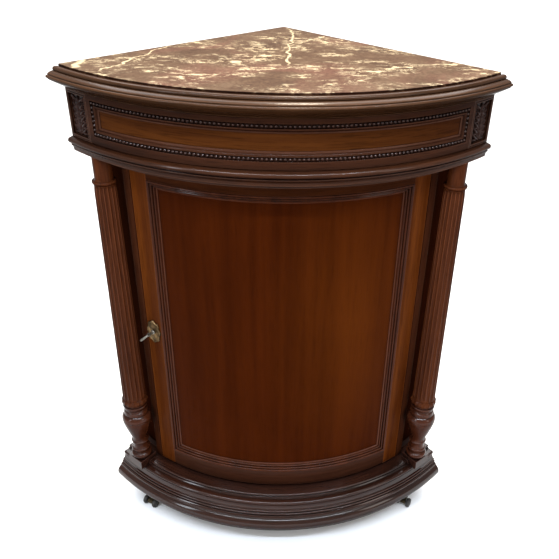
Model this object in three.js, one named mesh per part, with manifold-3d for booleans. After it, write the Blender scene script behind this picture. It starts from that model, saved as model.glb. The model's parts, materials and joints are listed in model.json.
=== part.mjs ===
// Corner cabinet in the neoclassical manner: a quarter-disc plan that fits a room's corner,
// one bowed door between two free-standing fluted columns, and a marble top.
// Millimetres, +Z up, front towards -Y. The origin is on the floor, in the middle of the
// bounding box. Every bowed piece is an arc about the cabinet's back corner, where the two
// straight sides meet at a right angle.

import * as THREE from "three";
import { mergeVertices } from "three/addons/utils/BufferGeometryUtils.js";
import Module from "manifold-3d";

const wasm = await Module();
wasm.setup();

// Plan sizes: radii are measured from the back corner.
const caseRadius = 511.5; // face of the frieze and its corner blocks
const marbleOverhang = 5;
const corniceProjection = 30;
const entablatureProjection = 9.5;
const baseProjection = 19.5;
const doorSetback = 43.5;
const columnSetback = 16;
const frameDepth = 46; // from the door's face to the inside of posts, cornice and blocks
const quarter = Math.PI / 4; // each side lies this far from the centre line
const blockAngle = 38.5 * (Math.PI / 180); // from the centre line to the corner blocks
const friezeFacets = 21; // facets of a bow between the corner blocks

const marbleRadius = caseRadius + marbleOverhang;
const corniceRadius = caseRadius + corniceProjection;
const entablatureRadius = caseRadius + entablatureProjection;
const baseRadius = caseRadius + baseProjection;
const doorRadius = caseRadius - doorSetback;
const columnRadiusFromCorner = caseRadius - columnSetback;
const frameInner = doorRadius - frameDepth;
const backCornerY = corniceRadius / 2;

// Heights of the stages, from the floor up.
const casterHeight = 50;
const baseHeight = 78;
const doorwayHeight = 712;
const entablatureHeight = 37;
const friezeHeight = 83;
const corniceHeight = 37;
const marbleReveal = 3; // how far the marble stands above the cornice
const marbleThickness = 20;

const baseBottom = casterHeight;
const baseTop = baseBottom + baseHeight;
const doorwayTop = baseTop + doorwayHeight;
const friezeBottom = doorwayTop + entablatureHeight;
const friezeTop = friezeBottom + friezeHeight;
const corniceTop = friezeTop + corniceHeight;
const marbleTop = corniceTop + marbleReveal;
const marbleBottom = marbleTop - marbleThickness;

// Clearances.
const seam = 0.3; // between pieces that touch
const doorGap = 2.5; // above and below the door
const doorSideGap = 2.8; // between the door and its posts
const slidingFit = 0.4; // round a pin or a bolt
const marbleSideGap = 1.7; // between the marble and its rebate

// Stock thicknesses.
const railThickness = 18;
const sideThickness = 12;
const boardThickness = 16;
const postSize = 40;
const friezeThickness = 26;
const baseFrontDepth = 75;

// Door.
const doorHalfAngle = 34.5 * (Math.PI / 180);
const doorThickness = 22;
const stileWidth = 36.8;
const topRailWidth = 24;
const bottomRailWidth = 40;
const doorPanelThickness = 7;
const doorPanelSetback = 10;
const doorMouldingWidth = 16;

// Columns.
const columnAngle = 38.8 * (Math.PI / 180);
const plinthWidth = 42;
const plinthHeight = 21.5;
const plinthSeatDrop = 9; // from the base's top to the step that the plinths stand on
const footHeight = 156;
const bulbRadius = 31.3;
const footBulbDrop = 44; // from the foot's top to the middle of its bulb
const fluteCount = 16;
const fluteDepth = 1.7;
const neckRadius = 16.3;
const neckFit = 1; // round the neck where it passes the step
const shaftRingRadius = 21.5;
const shaftTopRadius = 18.5;
const shaftMiddleRadius = 19.4;
const shaftBottomRadius = 24.3;
const gadroonRadius = 26.7;
const soffitHeight = 11; // of the seat of the columns above the doorway's top
const neckLength = 42;
const turnedSegments = 22;

// Pivot hinges.
const pivotInset = 5; // from the door's hinge edge to the axis
const pivotSetback = 5; // from the door's face to the axis
const pivotMargin = 3; // of the plates beyond the axis
const pivotPinRadius = 2.4;
const pivotPinLength = 14;
const pivotPlateLength = 34;
const pivotPlateWidth = 12;
const pivotPlateThickness = 1.6;

// Lock.
const lockAngle = -32.4 * (Math.PI / 180);
const lockHeight = 486;
const lockCaseWidth = 26;
const lockCaseHeight = 62;
const lockCaseDepth = 10;
const lockCaseInset = 2; // from the door's edge
const boltHeight = 16;
const boltThickness = 3.5;
const boltLength = 22;
const boltRest = 1; // how far the bolt's tip lies inside the door's edge
const boltChannelReach = 20; // of the channel beyond each end of the bolt
const keeperThickness = 2.4;
const keeperWidth = 9;
const keeperHeight = 44;
const escutcheonWidth = 34;
const escutcheonHeight = 53;
const escutcheonThickness = 2.4;
const escutcheonLobes = 8;
const keyTipGap = 1.2; // between the key's end and the bolt
const keyCollarLength = 15;
const keyStemRadius = 2.3;
const keyCollarRadius = 4.6;
const keyBowRadius = 11.8;
const keyBowThickness = 2.2;
const keyBowDepth = 10; // half the bow's size along the stem
const keyTilt = quarter;
const doorStopHeight = 20;
const doorStopWidth = 48;
const doorStopDepth = 16;

// Casters.
const wheelRadius = 11;
const wheelWidth = 8;
const wheelGap = 17;
const wheelHubRadius = 4;
const axleRadius = 1.8;
const hornWidth = 13;
const hornHeight = 15;
const casterBossRadius = 6;
const casterPlateRadius = 15;
const casterPlateThickness = 3;
const casterCollarRadius = 11;
const casterStemRadius = 3;
const casterTrail = 6;
const frontCasterSetback = 30; // from the base's edge
const frontCasterAngle = 36 * (Math.PI / 180);
const frontCasterTurn = -Math.PI / 6;
const backCasterRadius = 0.85 * postSize;
const backCasterTurn = 0;

const materials = {
  mahogany: new THREE.MeshStandardMaterial({ color: 0x5a2413, roughness: 0.35, metalness: 0 }),
  darkMahogany: new THREE.MeshStandardMaterial({ color: 0x3a1d14, roughness: 0.38, metalness: 0 }),
  doorVeneer: new THREE.MeshStandardMaterial({ color: 0x6e2a10, roughness: 0.28, metalness: 0 }),
  carcassWood: new THREE.MeshStandardMaterial({ color: 0x8a6a48, roughness: 0.75, metalness: 0 }),
  marble: new THREE.MeshStandardMaterial({ color: 0x7a4840, roughness: 0.2, metalness: 0 }),
  brass: new THREE.MeshStandardMaterial({ color: 0xa8894a, roughness: 0.35, metalness: 1 }),
  steel: new THREE.MeshStandardMaterial({ color: 0x8d8a84, roughness: 0.4, metalness: 1 }),
  castIron: new THREE.MeshStandardMaterial({ color: 0x34322f, roughness: 0.6, metalness: 0.8 }),
};

const cabinet = new THREE.Group();

function addPart(name, geometry, material) {
  const mesh = new THREE.Mesh(geometry, material);
  mesh.name = name;
  cabinet.add(mesh);
  return mesh;
}

// Angles at which every bowed piece has the corners of its facets. The frieze's ends are
// among them, so that frames and boards share their facets.
function arcCorners() {
  const outer = (quarter + blockAngle) / 2;
  const corners = [-quarter, -outer];
  for (let k = 0; k <= friezeFacets; k += 1) {
    corners.push(blockAngle * ((2 * k) / friezeFacets - 1));
  }
  return [...corners, outer, quarter];
}

const corners = arcCorners();

function arcAngles(from, to) {
  const between = corners.filter((angle) => angle > from + 1e-6 && angle < to - 1e-6);
  return [from, ...between, to];
}

// Radius of the faceted arc at any angle, so that concentric pieces keep their gap.
function facetRadius(radius, angle) {
  const next = corners.findIndex((corner) => corner > angle - 1e-6);
  if (next < 1 || Math.abs(corners[next] - angle) < 1e-6) return radius;
  const middle = (corners[next - 1] + corners[next]) / 2;
  const half = (corners[next] - corners[next - 1]) / 2;
  return (radius * Math.cos(half)) / Math.cos(angle - middle);
}

function planPoint(radius, angle) {
  const r = facetRadius(radius, angle);
  return [r * Math.sin(angle), backCornerY - r * Math.cos(angle)];
}

// A round stretch of an outline: degrees run anticlockwise from the outward direction.
function curve(centreX, centreY, radius, fromDegrees, toDegrees, steps) {
  const points = [];
  for (let k = 0; k <= steps; k += 1) {
    const t = THREE.MathUtils.degToRad(fromDegrees + ((toDegrees - fromDegrees) * k) / steps);
    points.push([centreX + radius * Math.cos(t), centreY + radius * Math.sin(t)]);
  }
  return points;
}

function isAnticlockwise(outline) {
  let sum = 0;
  outline.forEach(([x, y], i) => {
    const [nextX, nextY] = outline[(i + 1) % outline.length];
    sum += x * nextY - nextX * y;
  });
  return sum > 0;
}

function geometryFrom(positions, triangles) {
  const geometry = new THREE.BufferGeometry();
  geometry.setAttribute("position", new THREE.Float32BufferAttribute(positions, 3));
  geometry.setIndex(triangles);
  geometry.computeVertexNormals();
  return geometry;
}

// Turns a [radius, height] outline about the back corner, between two angles, with both
// ends closed.
function arcSolid(outline, from, to) {
  const profile = isAnticlockwise(outline) ? outline : [...outline].reverse();
  const count = profile.length;
  const angles = arcAngles(from, to);
  const positions = [];
  angles.forEach((angle) => {
    profile.forEach(([radius, height]) => {
      positions.push(...planPoint(radius, angle), height);
    });
  });
  const triangles = [];
  for (let i = 0; i < angles.length - 1; i += 1) {
    for (let j = 0; j < count; j += 1) {
      const a = i * count + j;
      const b = i * count + ((j + 1) % count);
      triangles.push(a, a + count, b, b, a + count, b + count);
    }
  }
  const cap = THREE.ShapeUtils.triangulateShape(
    profile.map(([x, y]) => new THREE.Vector2(x, y)),
    [],
  );
  const last = (angles.length - 1) * count;
  cap.forEach(([a, b, c]) => {
    triangles.push(a, b, c);
    triangles.push(last + a, last + c, last + b);
  });
  return geometryFrom(positions, triangles);
}

// A frame on a bowed face, mitred at its four corners. The outline gives [inset, radius]:
// the inset from the frame's outer edge, and the radius from the back corner.
function bowedFrame(outline, from, to, low, high) {
  const profile = isAnticlockwise(outline) ? outline : [...outline].reverse();
  const widest = Math.max(...profile.map(([inset, radius]) => inset / radius));
  const inner = arcAngles(from + widest, to - widest).slice(1, -1);
  const positions = [];
  profile.forEach(([inset, radius]) => {
    const left = from + inset / radius;
    const right = to - inset / radius;
    const along = [left, ...inner, right];
    along.forEach((angle) => positions.push(...planPoint(radius, angle), low + inset));
    [...along].reverse().forEach((angle) => {
      positions.push(...planPoint(radius, angle), high - inset);
    });
  });
  const ring = 2 * (inner.length + 2);
  const triangles = [];
  profile.forEach((_, j) => {
    const next = (j + 1) % profile.length;
    for (let i = 0; i < ring; i += 1) {
      const a = j * ring + i;
      const b = j * ring + ((i + 1) % ring);
      const c = next * ring + i;
      const d = next * ring + ((i + 1) % ring);
      triangles.push(a, c, b, b, c, d);
    }
  });
  return geometryFrom(positions, triangles);
}

function shapeFrom(points) {
  return new THREE.Shape(points.map(([x, y]) => new THREE.Vector2(x, y)));
}

function plate(points, low, high) {
  const geometry = new THREE.ExtrudeGeometry(shapeFrom(points), {
    depth: high - low,
    bevelEnabled: false,
  });
  geometry.translate(0, 0, low);
  return geometry;
}

function solidFrom(geometry) {
  const bare = new THREE.BufferGeometry();
  bare.setAttribute("position", geometry.getAttribute("position").clone());
  if (geometry.index) bare.setIndex(geometry.index.clone());
  const merged = mergeVertices(bare, 1e-3);
  return new wasm.Manifold(
    new wasm.Mesh({
      numProp: 3,
      vertProperties: merged.getAttribute("position").array,
      triVerts: new Uint32Array(merged.index.array),
    }),
  );
}

function geometryOf(solid) {
  const mesh = solid.getMesh();
  const geometry = new THREE.BufferGeometry();
  geometry.setAttribute("position", new THREE.BufferAttribute(mesh.vertProperties, 3));
  geometry.setIndex(new THREE.BufferAttribute(mesh.triVerts, 1));
  geometry.computeVertexNormals();
  return geometry;
}

function cutAway(geometry, ...tools) {
  let solid = solidFrom(geometry);
  tools.forEach((tool) => {
    solid = solid.subtract(solidFrom(tool));
  });
  return geometryOf(solid);
}

function joined(geometry, ...others) {
  let solid = solidFrom(geometry);
  others.forEach((other) => {
    solid = solid.add(solidFrom(other));
  });
  return geometryOf(solid);
}

// A box set on the radius at an angle: its sizes run radially, along the bow and upwards,
// and its place is the middle of the box.
function radialBox(depth, width, height, radius, angle, z) {
  const geometry = new THREE.BoxGeometry(width, depth, height);
  geometry.rotateZ(angle);
  geometry.translate(radius * Math.sin(angle), backCornerY - radius * Math.cos(angle), z);
  return geometry;
}

function uprightCylinder(radius, low, high, x, y, segments = 16) {
  const geometry = new THREE.CylinderGeometry(radius, radius, high - low, segments);
  geometry.rotateX(Math.PI / 2);
  geometry.translate(x, y, (low + high) / 2);
  return geometry;
}

// A box against one of the straight sides: its run is measured from the back corner along
// the side, and its depth from the side inwards.
function wallBox(side, runFrom, runTo, depthFrom, depthTo, low, high) {
  const geometry = new THREE.BoxGeometry(runTo - runFrom, depthTo - depthFrom, high - low);
  geometry.translate((runFrom + runTo) / 2, (depthFrom + depthTo) / 2, (low + high) / 2);
  if (side < 0) geometry.rotateZ(-3 * quarter);
  else {
    geometry.scale(1, -1, 1);
    geometry.index.array.reverse();
    geometry.rotateZ(-quarter);
  }
  geometry.translate(0, backCornerY, 0);
  return geometry;
}

function wallPoint(side, run, depth) {
  const along = [side * Math.SQRT1_2, -Math.SQRT1_2];
  const inwards = [-side * Math.SQRT1_2, -Math.SQRT1_2];
  return [
    run * along[0] + depth * inwards[0],
    backCornerY + run * along[1] + depth * inwards[1],
  ];
}

// A horizontal board in the quarter disc, notched round the back post.
function cornerBoard(radius, wallGap, low, high) {
  const notch = postSize + seam;
  const edge = quarter - Math.asin(wallGap / radius);
  const arc = arcAngles(-edge, edge).map((angle) => planPoint(radius, angle));
  const outline = [
    wallPoint(1, notch, wallGap),
    wallPoint(1, notch, notch),
    wallPoint(-1, notch, wallGap),
    ...arc,
  ];
  return plate(outline, low, high);
}

// Marble top: rounded corners and an eased upper edge.
function marbleSlab() {
  const cornerRadius = 4;
  const ease = 1.5;
  const radius = marbleRadius - ease;
  const inset = ease;
  const edge = quarter - Math.asin((inset + cornerRadius) / radius);
  const points = [];
  curve(0, 0, cornerRadius, 45, 135, 3).forEach(([x, y]) => {
    points.push([x, backCornerY - (inset + cornerRadius) * Math.SQRT2 + y]);
  });
  const arc = arcAngles(-edge, edge).map((angle) => planPoint(radius, angle));
  const leftFront = wallPoint(-1, radius - cornerRadius, inset);
  const rightFront = wallPoint(1, radius - cornerRadius, inset);
  const shape = shapeFrom([...points, leftFront, ...arc, rightFront]);
  const geometry = new THREE.ExtrudeGeometry(shape, {
    depth: marbleThickness - 2 * ease,
    bevelEnabled: true,
    bevelThickness: ease,
    bevelSize: ease,
    bevelSegments: 2,
  });
  geometry.translate(0, 0, marbleBottom + ease);
  return geometry;
}

// Cornice: rebate for the marble, a rounded lip, a broad band, a small bead at the widest
// place and a long slope down to the frieze.
function corniceProfile() {
  const rim = corniceRadius;
  const inner = frameInner;
  const seatWall = marbleRadius + marbleSideGap;
  return [
    [inner, friezeTop + seam],
    [caseRadius, friezeTop + seam],
    [caseRadius + 1, friezeTop + 2.2],
    [caseRadius + 8.5, friezeTop + 6.6],
    [caseRadius + 17, friezeTop + 12],
    [rim - 4, friezeTop + 17.8],
    ...curve(rim - 2.6, friezeTop + 22.8, 2.6, -70, 80, 4),
    [rim - 3.4, friezeTop + 26.2],
    [rim - 3.6, friezeTop + 27.6],
    [rim - 9, friezeTop + 29.8],
    [rim - 13.6, friezeTop + 31],
    ...curve(rim - 18.2, corniceTop - 4.4, 4.4, 0, 90, 4),
    [seatWall + 1, corniceTop],
    [seatWall, corniceTop - 1],
    [seatWall, marbleBottom - seam],
    [inner, marbleBottom - seam],
  ];
}

// Entablature moulding between the frieze and the doorway: a torus, a quirk and a hollow,
// with a flat soffit over the columns and a step down to the doorway.
function entablatureProfile() {
  const rim = entablatureRadius;
  const inner = frameInner;
  const top = friezeBottom - seam;
  const soffit = doorwayTop + soffitHeight;
  return [
    [inner, doorwayTop],
    [rim - 26, doorwayTop],
    [rim - 26, soffit],
    [rim - 8.5, soffit],
    [rim - 8.5, soffit + 2.6],
    ...curve(rim - 1.4, soffit + 3.6, 7, 180, 125, 2),
    [rim - 5.2, doorwayTop + 23],
    [rim - 6.8, doorwayTop + 24.4],
    ...curve(rim - 4.9, doorwayTop + 30.4, 4.9, -60, 70, 4),
    [rim - 7, top - 0.6],
    [caseRadius, top],
    [inner, top],
  ];
}

// Base moulding: a cushion foot, two reeds on a slope, the step that carries the column
// plinths, and the small step under the door.
function baseProfile() {
  const rim = baseRadius;
  const inner = baseRadius - baseFrontDepth;
  const step = baseTop - plinthSeatDrop;
  return [
    [inner, baseBottom],
    [rim - 8.6, baseBottom],
    ...curve(rim - 17, baseBottom + 19.5, 17, -55, 60, 6),
    [rim - 9.6, baseBottom + 35.2],
    [rim - 12.6, baseBottom + 39.6],
    [rim - 15, baseBottom + 40.6],
    ...curve(rim - 16.4, baseBottom + 43, 2.2, -50, 75, 2),
    [rim - 18, baseBottom + 45.6],
    ...curve(rim - 19, baseBottom + 48, 2.2, -50, 80, 2),
    [rim - 22, baseBottom + 53],
    [rim - 23.4, baseBottom + 58],
    [rim - 24.2, step - 7],
    ...curve(rim - 28.6, step - 4.4, 4.4, -10, 90, 3),
    [rim - 35, step],
    [rim - 37, step + 3.2],
    ...curve(rim - 40, baseTop - 3, 3, -20, 90, 3),
    [inner, baseTop],
  ];
}

function addMarbleAndCornice() {
  addPart("marble_top", marbleSlab(), materials.marble);
  addPart("cornice", arcSolid(corniceProfile(), -quarter, quarter), materials.mahogany);
}

// Frieze: a bowed board, its border with the sunk panel, the beading, and the two blocks.
const borderThickness = 5.2;
const borderWidth = 24.5;
const friezeStrip = 5.5; // plain foot of the frieze board, below its border
const beadInset = 12.5;
const beadRadius = 2.6;
const blockBorderWidth = 6;

function addFrieze() {
  const low = friezeBottom;
  const high = friezeTop;
  const ground = caseRadius - borderThickness;
  const gapAngle = seam / 2 / frameInner;
  const half = blockAngle - gapAngle;
  const inner = caseRadius - friezeThickness;
  const board = [
    [inner, low],
    [caseRadius, low],
    [caseRadius, low + friezeStrip],
    [ground - seam, low + friezeStrip],
    [ground - seam, high],
    [inner, high],
  ];
  addPart("frieze_board", arcSolid(board, -half, half), materials.mahogany);
  const frameLow = low + friezeStrip + seam;
  const border = [
    [0, ground],
    [0, caseRadius - 0.6],
    [0.6, caseRadius],
    [beadInset + 3.4, caseRadius],
    ...curve(beadInset + 3.4, caseRadius - 5, 4, 80, 15, 3),
    [borderWidth - 3, ground + 1.6],
    [borderWidth, ground + 1],
    [borderWidth, ground],
  ];
  addPart("frieze_border", bowedFrame(border, -half, half, frameLow, high), materials.mahogany);
  const beading = [
    [beadInset - beadRadius, caseRadius + seam],
    [beadInset + beadRadius, caseRadius + seam],
    ...curve(beadInset, caseRadius + seam, beadRadius, 40, 140, 2),
  ];
  const beads = bowedFrame(beading, -half, half, frameLow, high);
  addPart("frieze_beading", beads, materials.darkMahogany);
  const blockOutline = [
    [frameInner, low],
    [ground - seam, low],
    [ground - seam, high],
    [frameInner, high],
  ];
  for (const [name, from, to] of [
    ["left", -quarter, -blockAngle - gapAngle],
    ["right", blockAngle + gapAngle, quarter],
  ]) {
    const block = arcSolid(blockOutline, from, to);
    addPart("corner_block_" + name, block, materials.mahogany);
    const rim = [
      [0, ground],
      [0, caseRadius],
      [blockBorderWidth - 2, caseRadius],
      [blockBorderWidth, caseRadius - 2],
      [blockBorderWidth, ground],
    ];
    const frame = bowedFrame(rim, from, to, low, high);
    addPart("corner_block_border_" + name, frame, materials.mahogany);
  }
}

// The step below the soffit is cut away round the necks of the columns.
function addEntablature() {
  const geometry = arcSolid(entablatureProfile(), -quarter, quarter);
  const soffit = doorwayTop + soffitHeight;
  const sockets = [-columnAngle, columnAngle].map((angle) => uprightCylinder(
    neckRadius + neckFit, doorwayTop - soffitHeight, soffit - seam / 2,
    columnRadiusFromCorner * Math.sin(angle),
    backCornerY - columnRadiusFromCorner * Math.cos(angle),
    turnedSegments,
  ));
  addPart("entablature_moulding", cutAway(geometry, ...sockets), materials.mahogany);
}

// Carcass: back post, rails, sides, corner posts and boards.
const railEnd = Math.cos((quarter - blockAngle) / 2); // keeps square ends off the facets
const topRailHeight = 50;
const shelfHeight = 470;
const shelfSetback = 10; // from the inside of the posts
const battenSize = 18;
const battenEndGap = 24;

function addCarcass() {
  const wood = materials.carcassWood;
  const postTop = marbleBottom - seam;
  const backPost = wallBox(-1, 0, postSize, 0, postSize, baseBottom, postTop);
  addPart("back_post", backPost, wood);
  const start = postSize + seam;
  const bottomBoardLow = baseTop - boardThickness;
  const shelfRadius = frameInner - shelfSetback;
  const baseInner = (baseRadius - baseFrontDepth) * railEnd - seam;
  const frameEnd = frameInner * railEnd - seam;
  const topRailLow = postTop - topRailHeight;
  for (const [name, side] of [["left", -1], ["right", 1]]) {
    const baseRail = wallBox(
      side, start, baseInner, 0, railThickness, baseBottom, bottomBoardLow - seam,
    );
    addPart("base_rail_" + name, baseRail, wood);
    const topRail = wallBox(side, start, frameEnd, 0, railThickness, topRailLow, postTop);
    addPart("top_rail_" + name, topRail, wood);
    const panel = wallBox(
      side, start, frameEnd, 0, sideThickness, baseTop + seam, topRailLow - seam,
    );
    addPart("side_panel_" + name, panel, wood);
    const batten = wallBox(
      side, start + battenSize, shelfRadius - battenEndGap,
      sideThickness + seam, sideThickness + seam + battenSize,
      shelfHeight - battenSize - seam, shelfHeight - seam,
    );
    addPart("shelf_batten_" + name, batten, wood);
  }
  const bottomRadius = baseRadius - baseFrontDepth - seam;
  addPart("bottom_board", cornerBoard(bottomRadius, 0, bottomBoardLow, baseTop), wood);
  const shelf = cornerBoard(
    shelfRadius, sideThickness + seam, shelfHeight, shelfHeight + boardThickness,
  );
  addPart("shelf", shelf, wood);
}

// Corner posts: the strip beside the door, whose back lies flush with the door's back, and
// the board behind the column. Between them a rebate stays open for the lock's bolt.
const postAngle = doorHalfAngle + doorSideGap / doorRadius;
const postStripWidth = 17;
const postFaceSetback = 1; // behind the door's face
const postRebate = 12;

// The solid between two radii and two angles on one side, as tall as the doorway.
function uprightBoard(side, inner, outer, from, to) {
  const angles = arcAngles(from, to);
  const face = angles.map((angle) => planPoint(outer, angle));
  const back = angles.map((angle) => planPoint(inner, angle)).reverse();
  const outline = [...face, ...back].map(([x, y]) => [side * x, y]);
  return plate(outline, baseTop + seam, doorwayTop - seam);
}

function addCornerPosts() {
  const stripEnd = postAngle + postStripWidth / doorRadius;
  const boardStart = postAngle + postRebate / doorRadius;
  const wood = materials.mahogany;
  for (const [name, side] of [["left", -1], ["right", 1]]) {
    const post = uprightBoard(
      side, doorInner, doorRadius - postFaceSetback, postAngle, stripEnd,
    );
    addPart("corner_post_" + name, post, wood);
    const board = uprightBoard(side, frameInner, doorInner - seam, boardStart, quarter);
    addPart("column_backboard_" + name, board, wood);
  }
}

function addBase() {
  const geometry = arcSolid(baseProfile(), -quarter, quarter);
  const seatLow = baseTop - plinthSeatDrop - seam;
  const pocketSize = plinthWidth + 2 * seam;
  const pockets = [-columnAngle, columnAngle].map((angle) => radialBox(
    pocketSize, pocketSize, 2 * plinthSeatDrop,
    columnRadiusFromCorner, angle, seatLow + plinthSeatDrop,
  ));
  addPart("base_moulding", cutAway(geometry, ...pockets), materials.darkMahogany);
}

// Columns: square plinth, turned foot, fluted shaft with a ring and a plain neck.
const plinthLow = baseTop - plinthSeatDrop;
const footLow = plinthLow + plinthHeight + seam;
const footTop = footLow + footHeight;

function footProfile() {
  const z = footLow;
  const top = footTop;
  const bulb = top - footBulbDrop;
  return [
    [0, z],
    [18.5, z],
    ...curve(16, z + 8, 6.5, -60, 60, 4),
    [17.6, z + 16],
    [17.6, z + 20],
    ...curve(16.4, z + 24, 3.4, -50, 60, 3),
    [16.6, z + 30],
    [neckRadius, z + 38],
    [16.8, z + 43.4],
    [18.4, z + 45.6],
    [18.2, z + 47.6],
    [16.4, z + 50],
    [neckRadius, z + 55],
    [17.6, bulb - 52],
    [20.4, bulb - 42],
    [25, bulb - 27],
    [28.6, bulb - 14],
    [bulbRadius - 0.8, bulb - 4],
    [bulbRadius, bulb],
    ...curve(bulbRadius - 15, bulb + 2, 15, 0, 55, 4),
    [25.8, bulb + 16.4],
    [25.8, bulb + 20.6],
    ...curve(27.8, bulb + 29, 5.2, -130, -230, 2),
    [25.4, top - 8],
    [25.4, top - 4.5],
    [23.4, top - 2.5],
    [23.4, top],
    [0, top],
  ];
}

// The shaft's section: hollow flutes between narrow flat ridges.
function flutedRing(radius, depth) {
  const points = [];
  for (let k = 0; k < fluteCount; k += 1) {
    const middle = (k * 2 * Math.PI) / fluteCount;
    const half = Math.PI / fluteCount;
    for (const [share, cut] of [[-0.8, 0], [-0.3, 1], [0.3, 1], [0.8, 0]]) {
      const angle = middle + share * half;
      const r = radius - cut * depth;
      points.push([r * Math.cos(angle), r * Math.sin(angle)]);
    }
  }
  return points;
}

// Joins rings of equal count into one closed solid.
function stackedRings(rings) {
  const count = rings[0].points.length;
  const positions = [];
  rings.forEach(({ points, z }) => points.forEach(([x, y]) => positions.push(x, y, z)));
  const triangles = [];
  for (let i = 0; i < rings.length - 1; i += 1) {
    for (let j = 0; j < count; j += 1) {
      const a = i * count + j;
      const b = i * count + ((j + 1) % count);
      triangles.push(a, b, a + count, b, b + count, a + count);
    }
  }
  const bottom = positions.length / 3;
  positions.push(0, 0, rings[0].z);
  const top = bottom + 1;
  positions.push(0, 0, rings[rings.length - 1].z);
  const last = (rings.length - 1) * count;
  for (let j = 0; j < count; j += 1) {
    const next = (j + 1) % count;
    triangles.push(bottom, next, j);
    triangles.push(top, last + j, last + next);
  }
  return geometryFrom(positions, triangles);
}

function columnShaft() {
  const top = doorwayTop + soffitHeight - 1.5 * seam;
  const ring = top - neckLength;
  const low = footTop + seam;
  const length = ring - low;
  const section = (radius, depth, z) => ({ points: flutedRing(radius, depth), z });
  return stackedRings([
    section(gadroonRadius - 2.6, 0, low),
    section(gadroonRadius, fluteDepth * 0.5, low + 6),
    section(gadroonRadius - 0.6, fluteDepth * 0.8, low + 12),
    section(shaftBottomRadius, fluteDepth * 0.6, low + 18),
    section(shaftBottomRadius - 0.4, fluteDepth, low + 26),
    section(shaftMiddleRadius, fluteDepth, low + 0.65 * length),
    section(shaftTopRadius, fluteDepth, ring - 14),
    section(shaftTopRadius, 0, ring - 9),
    section(shaftRingRadius - 0.6, 0, ring - 7),
    section(shaftRingRadius, 0, ring - 5),
    section(shaftRingRadius - 0.8, 0, ring - 3),
    section(neckRadius + 0.4, 0, ring - 1.5),
    section(neckRadius, 0, top),
  ]);
}

function addColumns() {
  const shaft = columnShaft();
  const foot = new THREE.LatheGeometry(
    footProfile().map(([x, y]) => new THREE.Vector2(x, y)),
    turnedSegments,
  );
  foot.rotateX(Math.PI / 2);
  for (const [name, angle] of [["left", -columnAngle], ["right", columnAngle]]) {
    const x = columnRadiusFromCorner * Math.sin(angle);
    const y = backCornerY - columnRadiusFromCorner * Math.cos(angle);
    const plinth = radialBox(
      plinthWidth, plinthWidth, plinthHeight,
      columnRadiusFromCorner, angle, plinthLow + plinthHeight / 2,
    );
    addPart("column_plinth_" + name, plinth, materials.darkMahogany);
    const footMesh = addPart("column_foot_" + name, foot.clone(), materials.mahogany);
    footMesh.position.set(x, y, 0);
    const shaftMesh = addPart("column_shaft_" + name, shaft.clone(), materials.mahogany);
    shaftMesh.position.set(x, y, 0);
    shaftMesh.rotation.z = angle;
  }
}

// Door: stiles, rails, bowed panel and the reeded moulding round the panel.
const doorLow = baseTop + doorGap;
const doorHigh = doorwayTop - doorGap;
const stileInnerAngle = doorHalfAngle - stileWidth / doorRadius;
const doorInner = doorRadius - doorThickness;
const openingLow = doorLow + bottomRailWidth;
const openingHigh = doorHigh - topRailWidth;

const pivotAngle = doorHalfAngle - pivotInset / doorRadius;
const pivotRadius = doorRadius - pivotSetback;
const [pivotX, pivotY] = [
  pivotRadius * Math.sin(pivotAngle),
  backCornerY - pivotRadius * Math.cos(pivotAngle),
];

function addDoor() {
  const board = (low, high) => [
    [doorInner, low],
    [doorRadius, low],
    [doorRadius, high],
    [doorInner, high],
  ];
  const gapAngle = seam / doorRadius;
  const hole = pivotPinRadius + slidingFit;
  const reach = pivotPinLength + 2;
  const hingeStile = cutAway(
    arcSolid(board(doorLow, doorHigh), stileInnerAngle, doorHalfAngle),
    uprightCylinder(hole, doorHigh - reach, doorHigh + reach, pivotX, pivotY),
    uprightCylinder(hole, doorLow - reach, doorLow + reach, pivotX, pivotY),
    pivotPlate(doorHigh - pivotPlateThickness - seam, doorHigh + reach, seam),
    pivotPlate(doorLow - reach, doorLow + pivotPlateThickness + seam, seam),
  );
  addPart("door_stile_hinge", hingeStile, materials.doorVeneer);
  const lockStile = cutAway(
    arcSolid(board(doorLow, doorHigh), -doorHalfAngle, -stileInnerAngle),
    radialRod(keyholeRadius, doorInner - 5, doorRadius + 5),
  );
  addPart("door_stile_lock", lockStile, materials.doorVeneer);
  const railHalf = stileInnerAngle - gapAngle;
  const topRail = arcSolid(board(openingHigh, doorHigh), -railHalf, railHalf);
  addPart("door_rail_top", topRail, materials.doorVeneer);
  const bottomRail = arcSolid(board(doorLow, openingLow), -railHalf, railHalf);
  addPart("door_rail_bottom", bottomRail, materials.doorVeneer);
  const panelFace = doorRadius - doorPanelSetback;
  const panel = [
    [panelFace - doorPanelThickness, openingLow + seam],
    [panelFace, openingLow + seam],
    [panelFace, openingHigh - seam],
    [panelFace - doorPanelThickness, openingHigh - seam],
  ];
  addPart("door_panel", arcSolid(panel, -railHalf, railHalf), materials.doorVeneer);
  const low = panelFace + seam;
  const width = doorMouldingWidth;
  const reed = width / 4;
  const moulding = [
    [0, low],
    [0, doorRadius + 0.8],
    ...curve(reed * 0.55, doorRadius - 0.6, 1.7, 130, 20, 3),
    [reed * 1.1, doorRadius - 2.2],
    ...curve(reed * 1.6, doorRadius - 3.4, 1.8, 125, 15, 3),
    [reed * 2.15, doorRadius - 5],
    ...curve(reed * 2.7, doorRadius - 6.2, 1.8, 120, 10, 3),
    [reed * 3.3, low + 1.6],
    [width, low + 0.8],
    [width, low],
  ];
  const frame = bowedFrame(
    moulding, -railHalf, railHalf, openingLow + seam, openingHigh - seam,
  );
  addPart("door_moulding", frame, materials.doorVeneer);
}

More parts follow.
